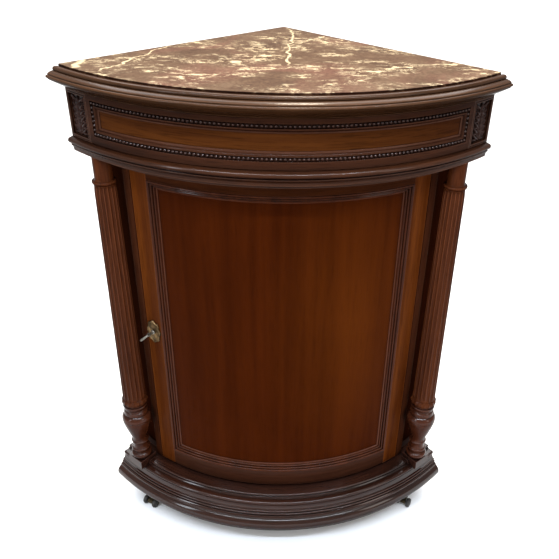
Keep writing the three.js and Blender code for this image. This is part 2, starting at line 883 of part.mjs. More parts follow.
// Pivot hinges: each plate lies flat in the door's end, and its mate under the case.
function pivotPlate(low, high, grow = 0) {
  const width = pivotPlateWidth + 2 * grow;
  const length = pivotPlateLength + 2 * grow;
  const geometry = new THREE.BoxGeometry(length, width, high - low);
  geometry.translate(pivotMargin - pivotPlateLength / 2, pivotPlateWidth / 2 - pivotMargin, 0);
  geometry.rotateZ(pivotAngle);
  geometry.translate(pivotX, pivotY, (low + high) / 2);
  return geometry;
}

function addPivots() {
  const thickness = pivotPlateThickness;
  const hole = pivotPinRadius + slidingFit;
  for (const [name, doorEnd, up] of [["top", doorHigh, 1], ["bottom", doorLow, -1]]) {
    const doorPlate = up > 0
      ? pivotPlate(doorEnd - thickness, doorEnd)
      : pivotPlate(doorEnd, doorEnd + thickness);
    const drilled = cutAway(
      doorPlate,
      uprightCylinder(hole, doorEnd - 2 * thickness, doorEnd + 2 * thickness, pivotX, pivotY),
    );
    addPart("pivot_door_plate_" + name, drilled, materials.brass);
    const caseFace = up > 0 ? doorwayTop - seam : baseTop + seam;
    const pinTip = doorEnd - up * pivotPinLength;
    const casePlate = up > 0
      ? pivotPlate(caseFace - thickness, caseFace)
      : pivotPlate(caseFace, caseFace + thickness);
    const pin = uprightCylinder(
      pivotPinRadius, Math.min(caseFace, pinTip), Math.max(caseFace, pinTip), pivotX, pivotY,
    );
    addPart("pivot_case_plate_" + name, joined(casePlate, pin), materials.brass);
  }
}

// Lock: a case on the door's inner face, a sliding bolt, a keeper behind the post, the
// escutcheon and the key.
const lockRadius = doorInner - 2 * seam - lockCaseDepth / 2; // middle of the case and bolt
const boltAngle = -doorHalfAngle + (boltRest + boltLength / 2) / lockRadius;
const lockCaseAngle = -doorHalfAngle + (lockCaseInset + lockCaseWidth / 2) / lockRadius;
const keyholeRadius = keyStemRadius + slidingFit;
const keyTip = lockRadius + boltThickness / 2 + keyTipGap;

function boltChannel() {
  return radialBox(
    boltThickness + 2 * slidingFit, boltLength + 2 * boltChannelReach,
    boltHeight + 2 * slidingFit, lockRadius, boltAngle, lockHeight,
  );
}

// The keeper is screwed to the back of the post, and the bolt slides behind it.
function keeperPlate() {
  const radius = doorInner - 2 * seam - keeperThickness / 2;
  const angle = -postAngle - (seam + keeperWidth / 2) / doorInner;
  return radialBox(keeperThickness, keeperWidth, keeperHeight, radius, angle, lockHeight);
}

function addLock() {
  const box = radialBox(
    lockCaseDepth, lockCaseWidth, lockCaseHeight, lockRadius, lockCaseAngle, lockHeight,
  );
  const bore = radialRod(keyholeRadius, lockRadius, doorRadius);
  addPart("lock_case", cutAway(box, boltChannel(), bore), materials.steel);
  const bolt = radialBox(
    boltThickness, boltLength, boltHeight, lockRadius, boltAngle, lockHeight,
  );
  addPart("lock_bolt", bolt, materials.brass);
  addPart("lock_keeper", keeperPlate(), materials.brass);
  addPart("escutcheon", escutcheon(), materials.brass);
  addPart("key", key(), materials.steel);
}

// A round bar along the keyhole's axis, between two radii.
function radialRod(radius, from, to) {
  const geometry = new THREE.CylinderGeometry(radius, radius, to - from, 12);
  geometry.translate(0, -(from + to) / 2, 0);
  return placedAtKeyhole(geometry);
}

function placedAtKeyhole(geometry) {
  geometry.rotateZ(lockAngle);
  geometry.translate(0, backCornerY, lockHeight);
  return geometry;
}

// Bowed plate with a scalloped oval outline round the keyhole.
function escutcheon() {
  const low = doorRadius + seam;
  const high = low + escutcheonThickness;
  const reach = escutcheonHeight;
  const shell = arcSolid(
    [
      [low, lockHeight - reach],
      [high, lockHeight - reach],
      [high, lockHeight + reach],
      [low, lockHeight + reach],
    ],
    lockAngle - reach / doorRadius,
    lockAngle + reach / doorRadius,
  );
  const outline = [];
  for (let k = 0; k < 6 * escutcheonLobes; k += 1) {
    const t = (2 * Math.PI * k) / (6 * escutcheonLobes);
    const lobe = 1 - 0.06 * (1 - Math.cos(escutcheonLobes * t));
    outline.push([
      (escutcheonWidth / 2) * lobe * Math.cos(t),
      (escutcheonHeight / 2) * lobe * Math.sin(t),
    ]);
  }
  const block = new THREE.ExtrudeGeometry(shapeFrom(outline), {
    depth: 40,
    bevelEnabled: false,
  });
  block.rotateX(Math.PI / 2);
  block.translate(0, 20 - doorRadius, 0);
  placedAtKeyhole(block);
  const solid = solidFrom(shell)
    .intersect(solidFrom(block))
    .subtract(solidFrom(radialRod(keyholeRadius, low - 5, high + 5)));
  return geometryOf(solid);
}

// The key: a stem with a collar outside the escutcheon, and an oval bow.
function key() {
  const collarLow = doorRadius + 2 * seam + escutcheonThickness;
  const stemEnd = collarLow + keyCollarLength;
  const stem = radialRod(keyStemRadius, keyTip, stemEnd);
  const collar = radialRod(keyCollarRadius, collarLow, stemEnd - 1);
  const bow = new THREE.TorusGeometry(keyBowRadius, keyBowThickness, 8, 20);
  bow.rotateY(Math.PI / 2);
  bow.scale(1, keyBowDepth / (keyBowRadius + keyBowThickness), 1);
  bow.rotateY(keyTilt);
  bow.translate(0, -(stemEnd + keyBowDepth - keyBowThickness), 0);
  return joined(stem, collar, placedAtKeyhole(bow));
}

// The block above the doorway that the closed door meets.
function addDoorStop() {
  const high = doorwayTop - seam;
  const low = high - doorStopHeight;
  const outer = doorInner - seam;
  const inner = outer - doorStopDepth;
  const half = doorStopWidth / 2 / outer;
  const block = [[inner, low], [outer, low], [outer, high], [inner, high]];
  addPart("door_stop", arcSolid(block, -half, half), materials.carcassWood);
}

// Casters: a plate under the cabinet, a swivelling horn, and two wheels on one axle.
function caster(name, x, y, trailAngle) {
  const plateTop = casterHeight - seam;
  const plateLow = plateTop - casterPlateThickness;
  const hornTop = plateLow - seam;
  const plate = cutAway(
    uprightCylinder(casterPlateRadius, plateLow, plateTop, 0, 0, 20),
    uprightCylinder(casterStemRadius + slidingFit, plateLow - 5, plateTop + 5, 0, 0),
  );
  const boss = new THREE.CylinderGeometry(casterBossRadius, casterBossRadius, hornWidth, 14);
  boss.rotateZ(Math.PI / 2);
  boss.translate(0, -casterTrail, wheelRadius);
  const arm = new THREE.BoxGeometry(hornWidth, casterTrail + hornWidth / 2, hornHeight);
  arm.translate(0, -casterTrail / 2 + hornWidth / 4, wheelRadius + hornHeight / 2);
  const drill = new THREE.CylinderGeometry(
    axleRadius + slidingFit, axleRadius + slidingFit, 2 * hornWidth, 12,
  );
  drill.rotateZ(Math.PI / 2);
  drill.translate(0, -casterTrail, wheelRadius);
  const horn = cutAway(
    joined(
      arm,
      boss,
      uprightCylinder(hornWidth / 2, wheelRadius + hornHeight - 1, hornTop, 0, 0),
      uprightCylinder(casterCollarRadius, hornTop - 3, hornTop, 0, 0, 20),
      uprightCylinder(casterStemRadius, hornTop - 1, plateTop - 0.5, 0, 0, 12),
    ),
    drill,
  );
  const wheels = casterWheels();
  for (const [piece, geometry, material] of [
    ["plate", plate, materials.castIron],
    ["horn", horn, materials.brass],
    ["wheels", wheels, materials.castIron],
  ]) {
    const mesh = addPart("caster_" + piece + "_" + name, geometry, material);
    mesh.position.set(x, y, 0);
    mesh.rotation.z = trailAngle;
  }
}

function casterWheels() {
  const inner = wheelGap / 2;
  const outer = inner + wheelWidth;
  const ease = 1.4;
  const half = [
    [axleRadius, inner],
    [wheelRadius - ease, inner],
    [wheelRadius, inner + ease],
    [wheelRadius, outer - ease],
    [wheelRadius - ease, outer],
    [wheelHubRadius + 1, outer],
    [wheelHubRadius, outer + 1],
  ];
  const profile = [
    [0, -outer - 1],
    ...half.map(([r, across]) => [r, -across]).reverse(),
    ...half,
    [0, outer + 1],
  ];
  const geometry = new THREE.LatheGeometry(
    profile.map(([r, across]) => new THREE.Vector2(r, across)),
    18,
  );
  geometry.rotateZ(-Math.PI / 2);
  geometry.translate(0, -casterTrail, wheelRadius);
  return geometry;
}

function addCasters() {
  for (const [name, side] of [["front_left", -1], ["front_right", 1]]) {
    const angle = side * frontCasterAngle;
    const radius = baseRadius - frontCasterSetback;
    const x = radius * Math.sin(angle);
    const y = backCornerY - radius * Math.cos(angle);
    caster(name, x, y, frontCasterTurn);
  }
  caster("back", 0, backCornerY - backCasterRadius, backCasterTurn);
}

addMarbleAndCornice();
addFrieze();
addEntablature();
addCarcass();
addCornerPosts();
addBase();
addColumns();
addDoor();
addPivots();
addLock();
addDoorStop();
addCasters();

export default cabinet;
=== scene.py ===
# %% [markdown]
# # A corner cabinet with a bowed door and a marble top
#
# This lesson dresses a small corner cupboard: a quarter of a disc in plan, with one bowed
# door between two fluted columns, a carved frieze and a red marble slab. The plain solids of
# every part are already packed as a frame. We load that frame, keep what is right, and make
# finer pieces wherever the eye will rest.
#
# Blender works in metres, but a cabinet maker thinks in millimetres. So every piece below is
# shaped in millimetres, and shrunk to metres in one place, when it is finished.

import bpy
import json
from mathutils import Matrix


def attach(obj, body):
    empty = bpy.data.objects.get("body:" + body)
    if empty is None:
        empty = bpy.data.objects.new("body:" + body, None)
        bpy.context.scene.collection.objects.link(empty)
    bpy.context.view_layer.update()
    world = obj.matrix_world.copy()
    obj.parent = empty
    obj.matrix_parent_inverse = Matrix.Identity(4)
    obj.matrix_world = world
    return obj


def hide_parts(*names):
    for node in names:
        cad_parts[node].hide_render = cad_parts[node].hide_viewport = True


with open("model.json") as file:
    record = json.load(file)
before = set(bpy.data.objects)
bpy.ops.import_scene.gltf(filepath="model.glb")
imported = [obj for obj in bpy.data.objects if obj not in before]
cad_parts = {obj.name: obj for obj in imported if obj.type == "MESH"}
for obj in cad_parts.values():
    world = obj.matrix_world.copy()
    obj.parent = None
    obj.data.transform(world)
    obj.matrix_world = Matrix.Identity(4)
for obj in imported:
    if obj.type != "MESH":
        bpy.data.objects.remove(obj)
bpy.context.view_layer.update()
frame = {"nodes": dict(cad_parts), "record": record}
print("nodes:", len(frame["nodes"]))

# %% Tools of the trade
import json
import math

import bmesh
import bpy
from mathutils import Matrix, Vector

MM = 0.001
print("one millimetre is", MM, "metres")

# %% [markdown]
# ## Measures
#
# Everything bowed on this cabinet is an arc about one point: the back corner, where the two
# straight sides meet. If we know the radius of the frieze and how far each moulding stands
# out from it, we know the whole plan. Heights are stacked from the floor in the same way, so
# one changed number moves everything above it.

# %% Plan radii, from the back corner
case_radius = 511.5
marble_radius = case_radius + 5
cornice_radius = case_radius + 30
entablature_radius = case_radius + 9.5
base_radius = case_radius + 19.5
door_radius = case_radius - 43.5
column_from_corner = case_radius - 16
frame_inner = door_radius - 46
back_y = cornice_radius / 2
wall_angle = math.radians(45)
block_angle = math.radians(38.5)
column_angle = math.radians(38.8)
door_half_angle = math.radians(34.5)
print("the cabinet is", round(2 * cornice_radius * math.sin(wall_angle)), "mm wide")

# %% Heights, from the floor
seam = 0.3
base_bottom = 50
base_top = base_bottom + 78
plinth_low = base_top - 9
doorway_top = base_top + 712
soffit = doorway_top + 11
frieze_bottom = doorway_top + 37
frieze_top = frieze_bottom + 83
cornice_top = frieze_top + 37
marble_top = cornice_top + 3
marble_bottom = marble_top - 20
print("the marble's face is", marble_top, "mm above the floor")

# %% [markdown]
# ## Two ways of drawing
#
# Every moulding is round somewhere, and every piece sits on the bow. Listing each point by
# hand would hide both. So one helper gives points on a round stretch of an outline from its
# centre and radius, and one finds a place on the bow from a radius, an angle and a height.

# %% Points on a curve and on the bow
def curve(centre_x, centre_y, radius, start, end, steps=8):
    points = []
    for step in range(steps + 1):
        turn = math.radians(start + (end - start) * step / steps)
        points.append((centre_x + radius * math.cos(turn), centre_y + radius * math.sin(turn)))
    return points


def on_bow(radius, angle, height):
    return Vector((radius * math.sin(angle), back_y - radius * math.cos(angle), height))


print("the door's middle is at", tuple(round(v) for v in on_bow(door_radius, 0, 484)))

# %% [markdown]
# ## Node helpers for the finishes
#
# A finish is a small graph of nodes. Wiring it by hand takes many lines, so short helpers do
# it. One adds a node, sets it and plugs in its inputs. One starts a material and types its
# constant values into the shader, and one wires what varies over the surface to the shader.
# The rest are single nodes with short names: sums, mixes, ramps and noise. In a ramp, a plain
# number stands for a grey.

# %% Add a node, start a finish, plug it in
def add_node(tree, kind, inputs=None, **settings):
    made = tree.nodes.new(kind)
    for name, value in settings.items():
        setattr(made, name, value)
    for socket, value in (inputs or {}).items():
        if isinstance(value, bpy.types.NodeSocket):
            tree.links.new(value, made.inputs[socket])
        else:
            made.inputs[socket].default_value = value
    return made


def start_finish(name, **constants):
    finish = bpy.data.materials.new(name)
    finish.use_nodes = True
    shader = finish.node_tree.nodes["Principled BSDF"]
    for socket, value in constants.items():
        shader.inputs[socket.replace("_", " ")].default_value = value
    return finish, finish.node_tree, shader


def plug_in(tree, shader, **values):
    for socket, value in values.items():
        tree.links.new(value, shader.inputs[socket.replace("_", " ")])


print("made: add_node, start_finish and plug_in")

# %% Sums, mixes, ramps and noise
def calculate(tree, operation, first, second=0.5, third=0.5):
    inputs = {0: first, 1: second, 2: third}
    return add_node(tree, "ShaderNodeMath", inputs, operation=operation).outputs[0]


def on_vectors(tree, operation, *values):
    inputs = dict(enumerate(values))
    made = add_node(tree, "ShaderNodeVectorMath", inputs, operation=operation)
    return made.outputs["Value" if operation in ("LENGTH", "DOT_PRODUCT") else "Vector"]


def mix_colours(tree, factor, first, second, blend="MIX"):
    first, second = ((*c, 1) if isinstance(c, tuple) else c for c in (first, second))
    inputs = {0: factor, 6: first, 7: second}
    return add_node(tree, "ShaderNodeMix", inputs, data_type="RGBA", blend_type=blend).outputs[2]


def ramp(tree, factor, *stops):
    made = add_node(tree, "ShaderNodeValToRGB", {0: factor})
    stretch = made.color_ramp
    while len(stretch.elements) < len(stops):
        stretch.elements.new(0.5)
    for element, (place, colour) in zip(stretch.elements, stops):
        element.position = place
        element.color = (*colour, 1) if isinstance(colour, tuple) else (colour, colour, colour, 1)
    return made.outputs[0]


def noise(tree, place, scale, detail=4, roughness=0.55, distortion=0.0):
    inputs = {"Vector": place, "Scale": scale, "Detail": detail}
    inputs.update({"Roughness": roughness, "Distortion": distortion})
    return add_node(tree, "ShaderNodeTexNoise", inputs).outputs[0]


print("made: calculate, on_vectors, mix_colours, ramp and noise")

# %% Place, tilt, openness and relief
def object_place(tree):
    return add_node(tree, "ShaderNodeTexCoord").outputs["Object"]


def split(tree, vector):
    return add_node(tree, "ShaderNodeSeparateXYZ", {0: vector}).outputs


def facing_up(tree):
    return split(tree, add_node(tree, "ShaderNodeTexCoord").outputs["Normal"])[2]


def stretched(tree, place, scale, turn=0.0):
    inputs = {0: place, "Scale": scale, "Rotation": (0, 0, turn)}
    return add_node(tree, "ShaderNodeMapping", inputs).outputs[0]


def openness(tree, distance, inside=False):
    inputs = {"Distance": distance}
    made = add_node(tree, "ShaderNodeAmbientOcclusion", inputs, samples=6, inside=inside)
    return made.outputs["AO"]


def relief(tree, height, strength, distance):
    inputs = {"Height": height, "Strength": strength, "Distance": distance}
    return add_node(tree, "ShaderNodeBump", inputs).outputs[0]


print("made: object_place, split, facing_up, stretched, openness and relief")

# %% [markdown]
# ## Coordinates that bend with the wood
#
# Veneer is glued round the bow, so its grain follows the arc. If we fed plain object
# coordinates to the grain, straight planks of pattern would cut through the curved front. A
# small node group turns a place into bow coordinates instead: how far along the arc it is,
# how far out, and how high. The object coordinates travel with a piece, so the door keeps its
# grain when it swings.

# %% The bow coordinates group
def make_bow_coordinates():
    group = bpy.data.node_groups.new("bow coordinates", "ShaderNodeTree")
    group.interface.new_socket("Place", in_out="OUTPUT", socket_type="NodeSocketVector")
    parts = split(group, object_place(group))
    forward = calculate(group, "SUBTRACT", back_y * MM, parts[1])
    angle = calculate(group, "ARCTAN2", parts[0], forward)
    along = calculate(group, "MULTIPLY", angle, case_radius * MM)
    flat = add_node(group, "ShaderNodeCombineXYZ", {0: parts[0], 1: forward}).outputs[0]
    outwards = on_vectors(group, "LENGTH", flat)
    bent = add_node(group, "ShaderNodeCombineXYZ", {0: along, 1: outwards, 2: parts[2]})
    end = add_node(group, "NodeGroupOutput")
    group.links.new(bent.outputs[0], end.inputs[0])
    return group


bow_coordinates = make_bow_coordinates()


def bow_place(tree):
    return add_node(tree, "ShaderNodeGroup", node_tree=bow_coordinates).outputs[0]


print("made the group:", bow_coordinates.name)

# %% [markdown]
# ## Polished mahogany
#
# Mahogany under old French polish shows broad bands of colour along the grain, and short dark
# pores that lie in the same direction. An image of wood would be quick to use, but it would
# repeat, and its grain wouldn't follow each piece. So both are noise, pulled long in the
# grain's direction by a Mapping node.

# %% Bands and pores
grain_pull = {"up": (1, 1, 0.045), "bow": (0.045, 1, 1)}


def wood_bands(tree, place, pulled, pale, deep):
    bands = noise(tree, pulled, 34, 5, 0.6, 0.5)
    broad = noise(tree, place, 3.2, 3, 0.5, 0.6)
    figure = calculate(tree, "MULTIPLY_ADD", broad, 0.28, calculate(tree, "MULTIPLY", bands, 0.72))
    middle = tuple((a + b) / 2 for a, b in zip(pale, deep))
    return ramp(tree, figure, (0.36, deep), (0.5, middle), (0.64, pale))


def with_pores(tree, colour, pores, share):
    return mix_colours(tree, share, colour, ramp(tree, pores, (0.36, 0.3), (0.47, 1)), "MULTIPLY")


print("the grain is drawn out", round(1 / grain_pull["up"][2]), "times")

# %% [markdown]
# ## What age does to the polish
#
# In every hollow the polish has gone dark with dust and wax, and the hollows are darkened
# further as painted shade. On sharp edges it is rubbed through to paler wood, which is also a
# painted highlight along each edge. An Ambient Occlusion node finds both: it measures how
# closed in a spot is, and with its inside setting how thin the wood is there. Neither asks
# where the camera is.
#
# The lamps of the room lie above, so what faces up shines, and what faces down is dark and
# dull. The tilt of the face sets the shine, and faces that point down are painted darker, as
# painted shade. One spot on the door's panel is lightened by a soft ball of gradient: a
# painted pool of light.

# %% Dust and painted shade in hollows, worn and highlighted edges
hollow_reach = 0.012
edge_reach = 0.0022


# Hollows go towards the hollow colour: partly dust and wax, partly painted shade.
def dust_and_shade_in_hollows(tree, colour, hollow, hollow_dust_and_shade):
    open_share = ramp(tree, openness(tree, hollow_reach), (0.38, 0), (0.93, 1))
    dust_and_shade_share = calculate(tree, "MULTIPLY", calculate(tree, "SUBTRACT", 1.0, open_share), hollow_dust_and_shade)
    return mix_colours(tree, dust_and_shade_share, colour, hollow)


# Thin convex edges turn pale: partly wear through the polish, partly a painted highlight.
def rubbed_and_highlighted_edges(tree, colour, pale, patchy, wear_and_highlight):
    patches = calculate(tree, "MULTIPLY", ramp(tree, patchy, (0.3, 0.45), (0.6, 1)), wear_and_highlight)
    thin = ramp(tree, openness(tree, edge_reach, inside=True), (0.55, 1), (0.85, 0))
    bare_wood_and_highlight = tuple(c * 2.6 + 0.012 for c in pale)
    return mix_colours(tree, calculate(tree, "MULTIPLY", thin, patches), colour, bare_wood_and_highlight)


print("dust gathers within", hollow_reach, "m of a corner, and edges wear within", edge_reach, "m")

# %% Shine and painted shade by tilt, and the painted pool of light
def shine_and_shade_by_tilt(tree, shader, colour, sheen, coat):
    tilt = calculate(tree, "MULTIPLY_ADD", facing_up(tree), 0.5, 0.5)
    # Faces that point down are multiplied darker: painted shade.
    shade = ramp(tree, tilt, (0.1, (0.4, 0.36, 0.34)), (0.52, 1))
    polished = ramp(tree, tilt, (0.3, 0.04), (0.5, 0.35), (0.68, 1))
    plug_in(
        tree, shader, Specular_IOR_Level=calculate(tree, "MULTIPLY", polished, sheen),
        Coat_Weight=calculate(tree, "MULTIPLY", polished, coat),
    )
    return mix_colours(tree, 1, colour, shade, "MULTIPLY")


light_spot_along, light_spot_height = 0.15, 0.53
light_spot_wide, light_spot_tall = 0.19, 0.36


# A soft ball of gradient lightens one spot of the door's panel: a painted pool of light.
def painted_light_spot(tree, place, colour):
    spot = add_node(tree, "ShaderNodeMapping", {
        0: place,
        "Location": (-light_spot_along / light_spot_wide, 0, -light_spot_height / light_spot_tall),
        "Scale": (1 / light_spot_wide, 0, 1 / light_spot_tall),
    }).outputs[0]
    near = add_node(tree, "ShaderNodeTexGradient", {0: spot}, gradient_type="SPHERICAL")
    return mix_colours(tree, near.outputs["Fac"], colour, (1.6, 2.0, 1.9), "MULTIPLY")


print("the faded spot is", light_spot_along, "m right of the middle and", light_spot_height, "m high")

# %% All layers of the polish together
def polished_wood(name, grain, pale, deep, hollow, sheen=0.12, coat=0.05, roughness=0.22,
                  coat_roughness=0.12, hollow_dust_and_shade=0.85, pore=0.5, wear_and_highlight=0.55, painted_light=False):
    finish, tree, shader = start_finish(name, Coat_Roughness=coat_roughness)
    place = bow_place(tree)
    pulled = stretched(tree, place, grain_pull[grain])
    pores = noise(tree, pulled, 520, 2, 0.5)
    patchy = noise(tree, place, 14, 3, 0.6)
    colour = with_pores(tree, wood_bands(tree, place, pulled, pale, deep), pores, pore)
    if painted_light:
        colour = painted_light_spot(tree, place, colour)
    colour = dust_and_shade_in_hollows(tree, colour, hollow, hollow_dust_and_shade)
    colour = shine_and_shade_by_tilt(tree, shader, colour, sheen, coat)
    plug_in(
        tree, shader, Base_Color=rubbed_and_highlighted_edges(tree, colour, pale, patchy, wear_and_highlight),
        Roughness=calculate(tree, "MULTIPLY_ADD", patchy, 0.14, roughness - 0.07),
        Normal=relief(tree, pores, 0.12, 0.0004),
    )
    return finish


print("made: polished_wood")

# %% [markdown]
# ## A shade for each part
#
# The photograph shows one wood in many shades. The cornice is painted lighter, for the light
# that falls on its upper faces, the base and the carving are nearly black, and the stiles are
# the reddest. Each shade is three colours, pale grain, deep grain and a hollow colour for dust
# and painted shade, with the shine that this part has kept.

# %% Mahogany of the mouldings and the frieze
moulding_wood = polished_wood(
    "polished mahogany along the bow", "bow",
    (0.043, 0.0138, 0.0052), (0.018, 0.0054, 0.0022), (0.0025, 0.0012, 0.001),
    sheen=0.18, coat=0.12, roughness=0.17, coat_roughness=0.09,
)
# Lighter than the other mouldings: painted light on the cornice's upper faces.
cornice_wood = polished_wood(
    "cornice mahogany lightened for painted light", "bow",
    (0.062, 0.0265, 0.0112), (0.030, 0.0122, 0.0050), (0.003, 0.0015, 0.001),
    sheen=0.11, coat=0.06, roughness=0.2,
)
base_wood = polished_wood(
    "darkened mahogany along the bow", "bow",
    (0.032, 0.0105, 0.0058), (0.012, 0.0043, 0.0027), (0.0016, 0.0009, 0.0009),
    sheen=0.2, coat=0.25, roughness=0.15, coat_roughness=0.06,
)
frieze_wood = polished_wood(
    "frieze veneer", "bow",
    (0.066, 0.019, 0.0038), (0.028, 0.0075, 0.002), (0.006, 0.002, 0.001), sheen=0.02, coat=0.0,
)
frieze_frame_wood = polished_wood(
    "frieze frame", "bow",
    (0.038, 0.0125, 0.0055), (0.017, 0.0055, 0.0026), (0.002, 0.001, 0.0008), sheen=0.05, wear_and_highlight=0.35,
)
carved_wood = polished_wood(
    "darkened carving", "up",
    (0.034, 0.011, 0.006), (0.014, 0.0045, 0.003), (0.0012, 0.0007, 0.0006),
    sheen=0.16, coat=0.1, roughness=0.2, hollow_dust_and_shade=1.0, wear_and_highlight=0.12,
)
bead_wood = polished_wood(
    "rubbed beads", "up",
    (0.04, 0.014, 0.008), (0.02, 0.007, 0.0045), (0.001, 0.0006, 0.0005),
    sheen=0.35, coat=0.2, roughness=0.18, hollow_dust_and_shade=1.0, wear_and_highlight=0.1,
)
print("shades so far:", len(bpy.data.materials))

# %% Mahogany of the columns and the posts
foot_wood = polished_wood(
    "turned mahogany", "up",
    (0.056, 0.0145, 0.0055), (0.021, 0.0055, 0.0026), (0.0012, 0.0007, 0.0006),
    sheen=0.14, coat=0.16, roughness=0.15, coat_roughness=0.07, hollow_dust_and_shade=1.0, wear_and_highlight=0.25,
)
upright_wood = polished_wood(
    "polished mahogany upright", "up",
    (0.070, 0.018, 0.0052), (0.028, 0.0070, 0.0026), (0.0018, 0.0007, 0.0005),
    sheen=0.05, coat=0.03, hollow_dust_and_shade=1.0,
)
post_wood = polished_wood(
    "mahogany post beside the door", "up",
    (0.052, 0.0145, 0.0052), (0.022, 0.0056, 0.0022), (0.001, 0.0005, 0.0004),
    sheen=0.02, coat=0.0, roughness=0.4, wear_and_highlight=0.1,
)
# Far darker than the other uprights and without shine: painted shade in the recess behind the
# columns.
shaded_wood = polished_wood(
    "mahogany behind the columns, darkened as painted shade", "up",
    (0.020, 0.004, 0.0012), (0.008, 0.002, 0.0007), (0.001, 0.0005, 0.0004),
    sheen=0.0, coat=0.0, roughness=0.5, wear_and_highlight=0.1,
)
print("shades so far:", len(bpy.data.materials))

# %% Mahogany of the door
door_wood = polished_wood(
    "door veneer", "up",
    (0.041, 0.0070, 0.0007), (0.026, 0.0042, 0.0004), (0.004, 0.0012, 0.0006),
    sheen=0.016, coat=0.0, pore=0.2, painted_light=True,
)
stile_wood = polished_wood(
    "stile veneer", "up",
    (0.088, 0.022, 0.0038), (0.040, 0.0088, 0.0017), (0.006, 0.0025, 0.0012),
    sheen=0.015, coat=0.0, pore=0.35,
)
rail_wood = polished_wood(
    "door rail veneer", "bow",
    (0.042, 0.011, 0.003), (0.020, 0.005, 0.0015), (0.003, 0.001, 0.0006),
    sheen=0.02, coat=0.0, pore=0.35,
)
low_rail_wood = polished_wood(
    "worn low rail of the door", "bow",
    (0.036, 0.0118, 0.0056), (0.018, 0.0058, 0.003), (0.003, 0.001, 0.0006),
    sheen=0.1, coat=0.05, pore=0.35,
)
reed_wood = polished_wood(
    "reeded moulding", "up",
    (0.054, 0.0125, 0.0034), (0.024, 0.0055, 0.0018), (0.002, 0.0008, 0.0005),
    sheen=0.1, coat=0.1, wear_and_highlight=0.25,
)
print("shades of polished wood:", [m.name for m in bpy.data.materials])

# %% [markdown]
# ## Red marble
#
# The marble is a dull red-brown stone, broken by cream veins and flecks. A picture of it would
# stop at the slab's edge, while noise fills the slab in depth, so a vein runs over the edge.
#
# A fine vein is the thin line where a noise crosses its middle value, so the distance from
# that value, made narrow by a ramp, draws it. The few long veins run nearly straight, so they
# are given by their ends: a place counts as vein when it is close to that line. Noise shifts
# the place first, which makes the line tremble. In the photograph the slab's edge is much
# darker than its top, so faces that don't point up are darkened, as painted shade.

# %% Fine veins and long veins
def fine_veins(tree, place, scale, width, detail, distortion):
    cloud = noise(tree, place, scale, detail, 0.62, distortion)
    away = calculate(tree, "ABSOLUTE", calculate(tree, "SUBTRACT", cloud, 0.5))
    return ramp(tree, away, (0.0, 1), (width, 0))


def long_vein(tree, place, start, end, width):
    along = (Vector(end) - Vector(start)).to_3d()
    across = along.normalized().cross(Vector((0, 0, 1)))
    away = on_vectors(tree, "SUBTRACT", place, (*start, 0))
    sideways = on_vectors(tree, "DOT_PRODUCT", away, across)
    forwards = on_vectors(tree, "DOT_PRODUCT", away, along / along.length ** 2)
    off_line = calculate(tree, "DIVIDE", calculate(tree, "ABSOLUTE", sideways), width)
    past_end = calculate(tree, "ABSOLUTE", calculate(tree, "SUBTRACT", forwards, 0.5))
    line = ramp(tree, off_line, (0.35, 1), (1, 0))
    return calculate(tree, "MULTIPLY", line, ramp(tree, past_end, (0.42, 1), (0.52, 0)))


def trembling(tree, here):
    wander = add_node(tree, "ShaderNodeTexNoise", {"Vector": here, "Scale": 26, "Detail": 5})
    away = on_vectors(tree, "SUBTRACT", wander.outputs["Color"], (0.5, 0.5, 0.5))
    return on_vectors(tree, "MULTIPLY_ADD", away, (0.04, 0.04, 0.04), here)


# Each long vein has two ends, in metres on the plan, and half its width.
long_veins = [
    ((0.015, 0.25), (0.009, -0.076), 0.0028),
    ((-0.208, 0.062), (-0.288, -0.14), 0.0024),
    ((-0.34, -0.04), (-0.33, -0.12), 0.005),
    ((0.088, 0.177), (0.004, 0.065), 0.002),
    ((-0.177, 0.101), (-0.107, 0.063), 0.0012),
]
print("long veins:", len(long_veins))

# %% The stone under the veins, and the marble
def stone_ground(tree, here, ground):
    brown = ((0.066, 0.035, 0.02), (0.098, 0.056, 0.032), (0.14, 0.088, 0.053))
    stone = ramp(tree, ground, *zip((0.34, 0.5, 0.66), brown))
    redder = ramp(tree, noise(tree, here, 5, 3, 0.5, 0.8), (0.5, 0), (0.62, 0.4))
    stone = mix_colours(tree, redder, stone, (0.17, 0.072, 0.05))
    grains = ramp(tree, noise(tree, here, 160, 4, 0.7), (0.35, (0.55, 0.5, 0.48)), (0.6, 1))
    return mix_colours(tree, 0.8, stone, grains, "MULTIPLY")


def all_veins(tree, here):
    turned = stretched(tree, here, (1, 1.7, 1), math.radians(-14))
    flecks = ramp(tree, noise(tree, turned, 44, 8, 0.75), (0.54, 0), (0.56, 1))
    marks = calculate(tree, "MAXIMUM", fine_veins(tree, turned, 13, 0.012, 7, 0.3), flecks)
    cluster = ramp(tree, noise(tree, turned, 8, 4, 0.6), (0.46, 0), (0.56, 1))
    veins = calculate(tree, "MULTIPLY", marks, cluster)
    shifted = trembling(tree, here)
    for start, end, width in long_veins:
        veins = calculate(tree, "MAXIMUM", veins, long_vein(tree, shifted, start, end, width))
    return veins


def red_marble():
    finish, tree, shader = start_finish("red marble", Specular_IOR_Level=0.02)
    here = object_place(tree)
    ground = noise(tree, here, 14, 10, 0.72, 0.4)
    stone = stone_ground(tree, here, ground)
    colour = mix_colours(tree, all_veins(tree, here), stone, (0.46, 0.36, 0.22))
    # Faces that don't point up are multiplied darker: painted shade on the slab's edge.
    shade_off_top = ramp(tree, facing_up(tree), (0.45, (0.12, 0.07, 0.06)), (0.9, 1))
    plug_in(
        tree, shader, Base_Color=mix_colours(tree, 1, colour, shade_off_top, "MULTIPLY"),
        Roughness=calculate(tree, "MULTIPLY_ADD", ground, 0.2, 0.3),
    )
    return finish


marble = red_marble()
print("made:", marble.name)

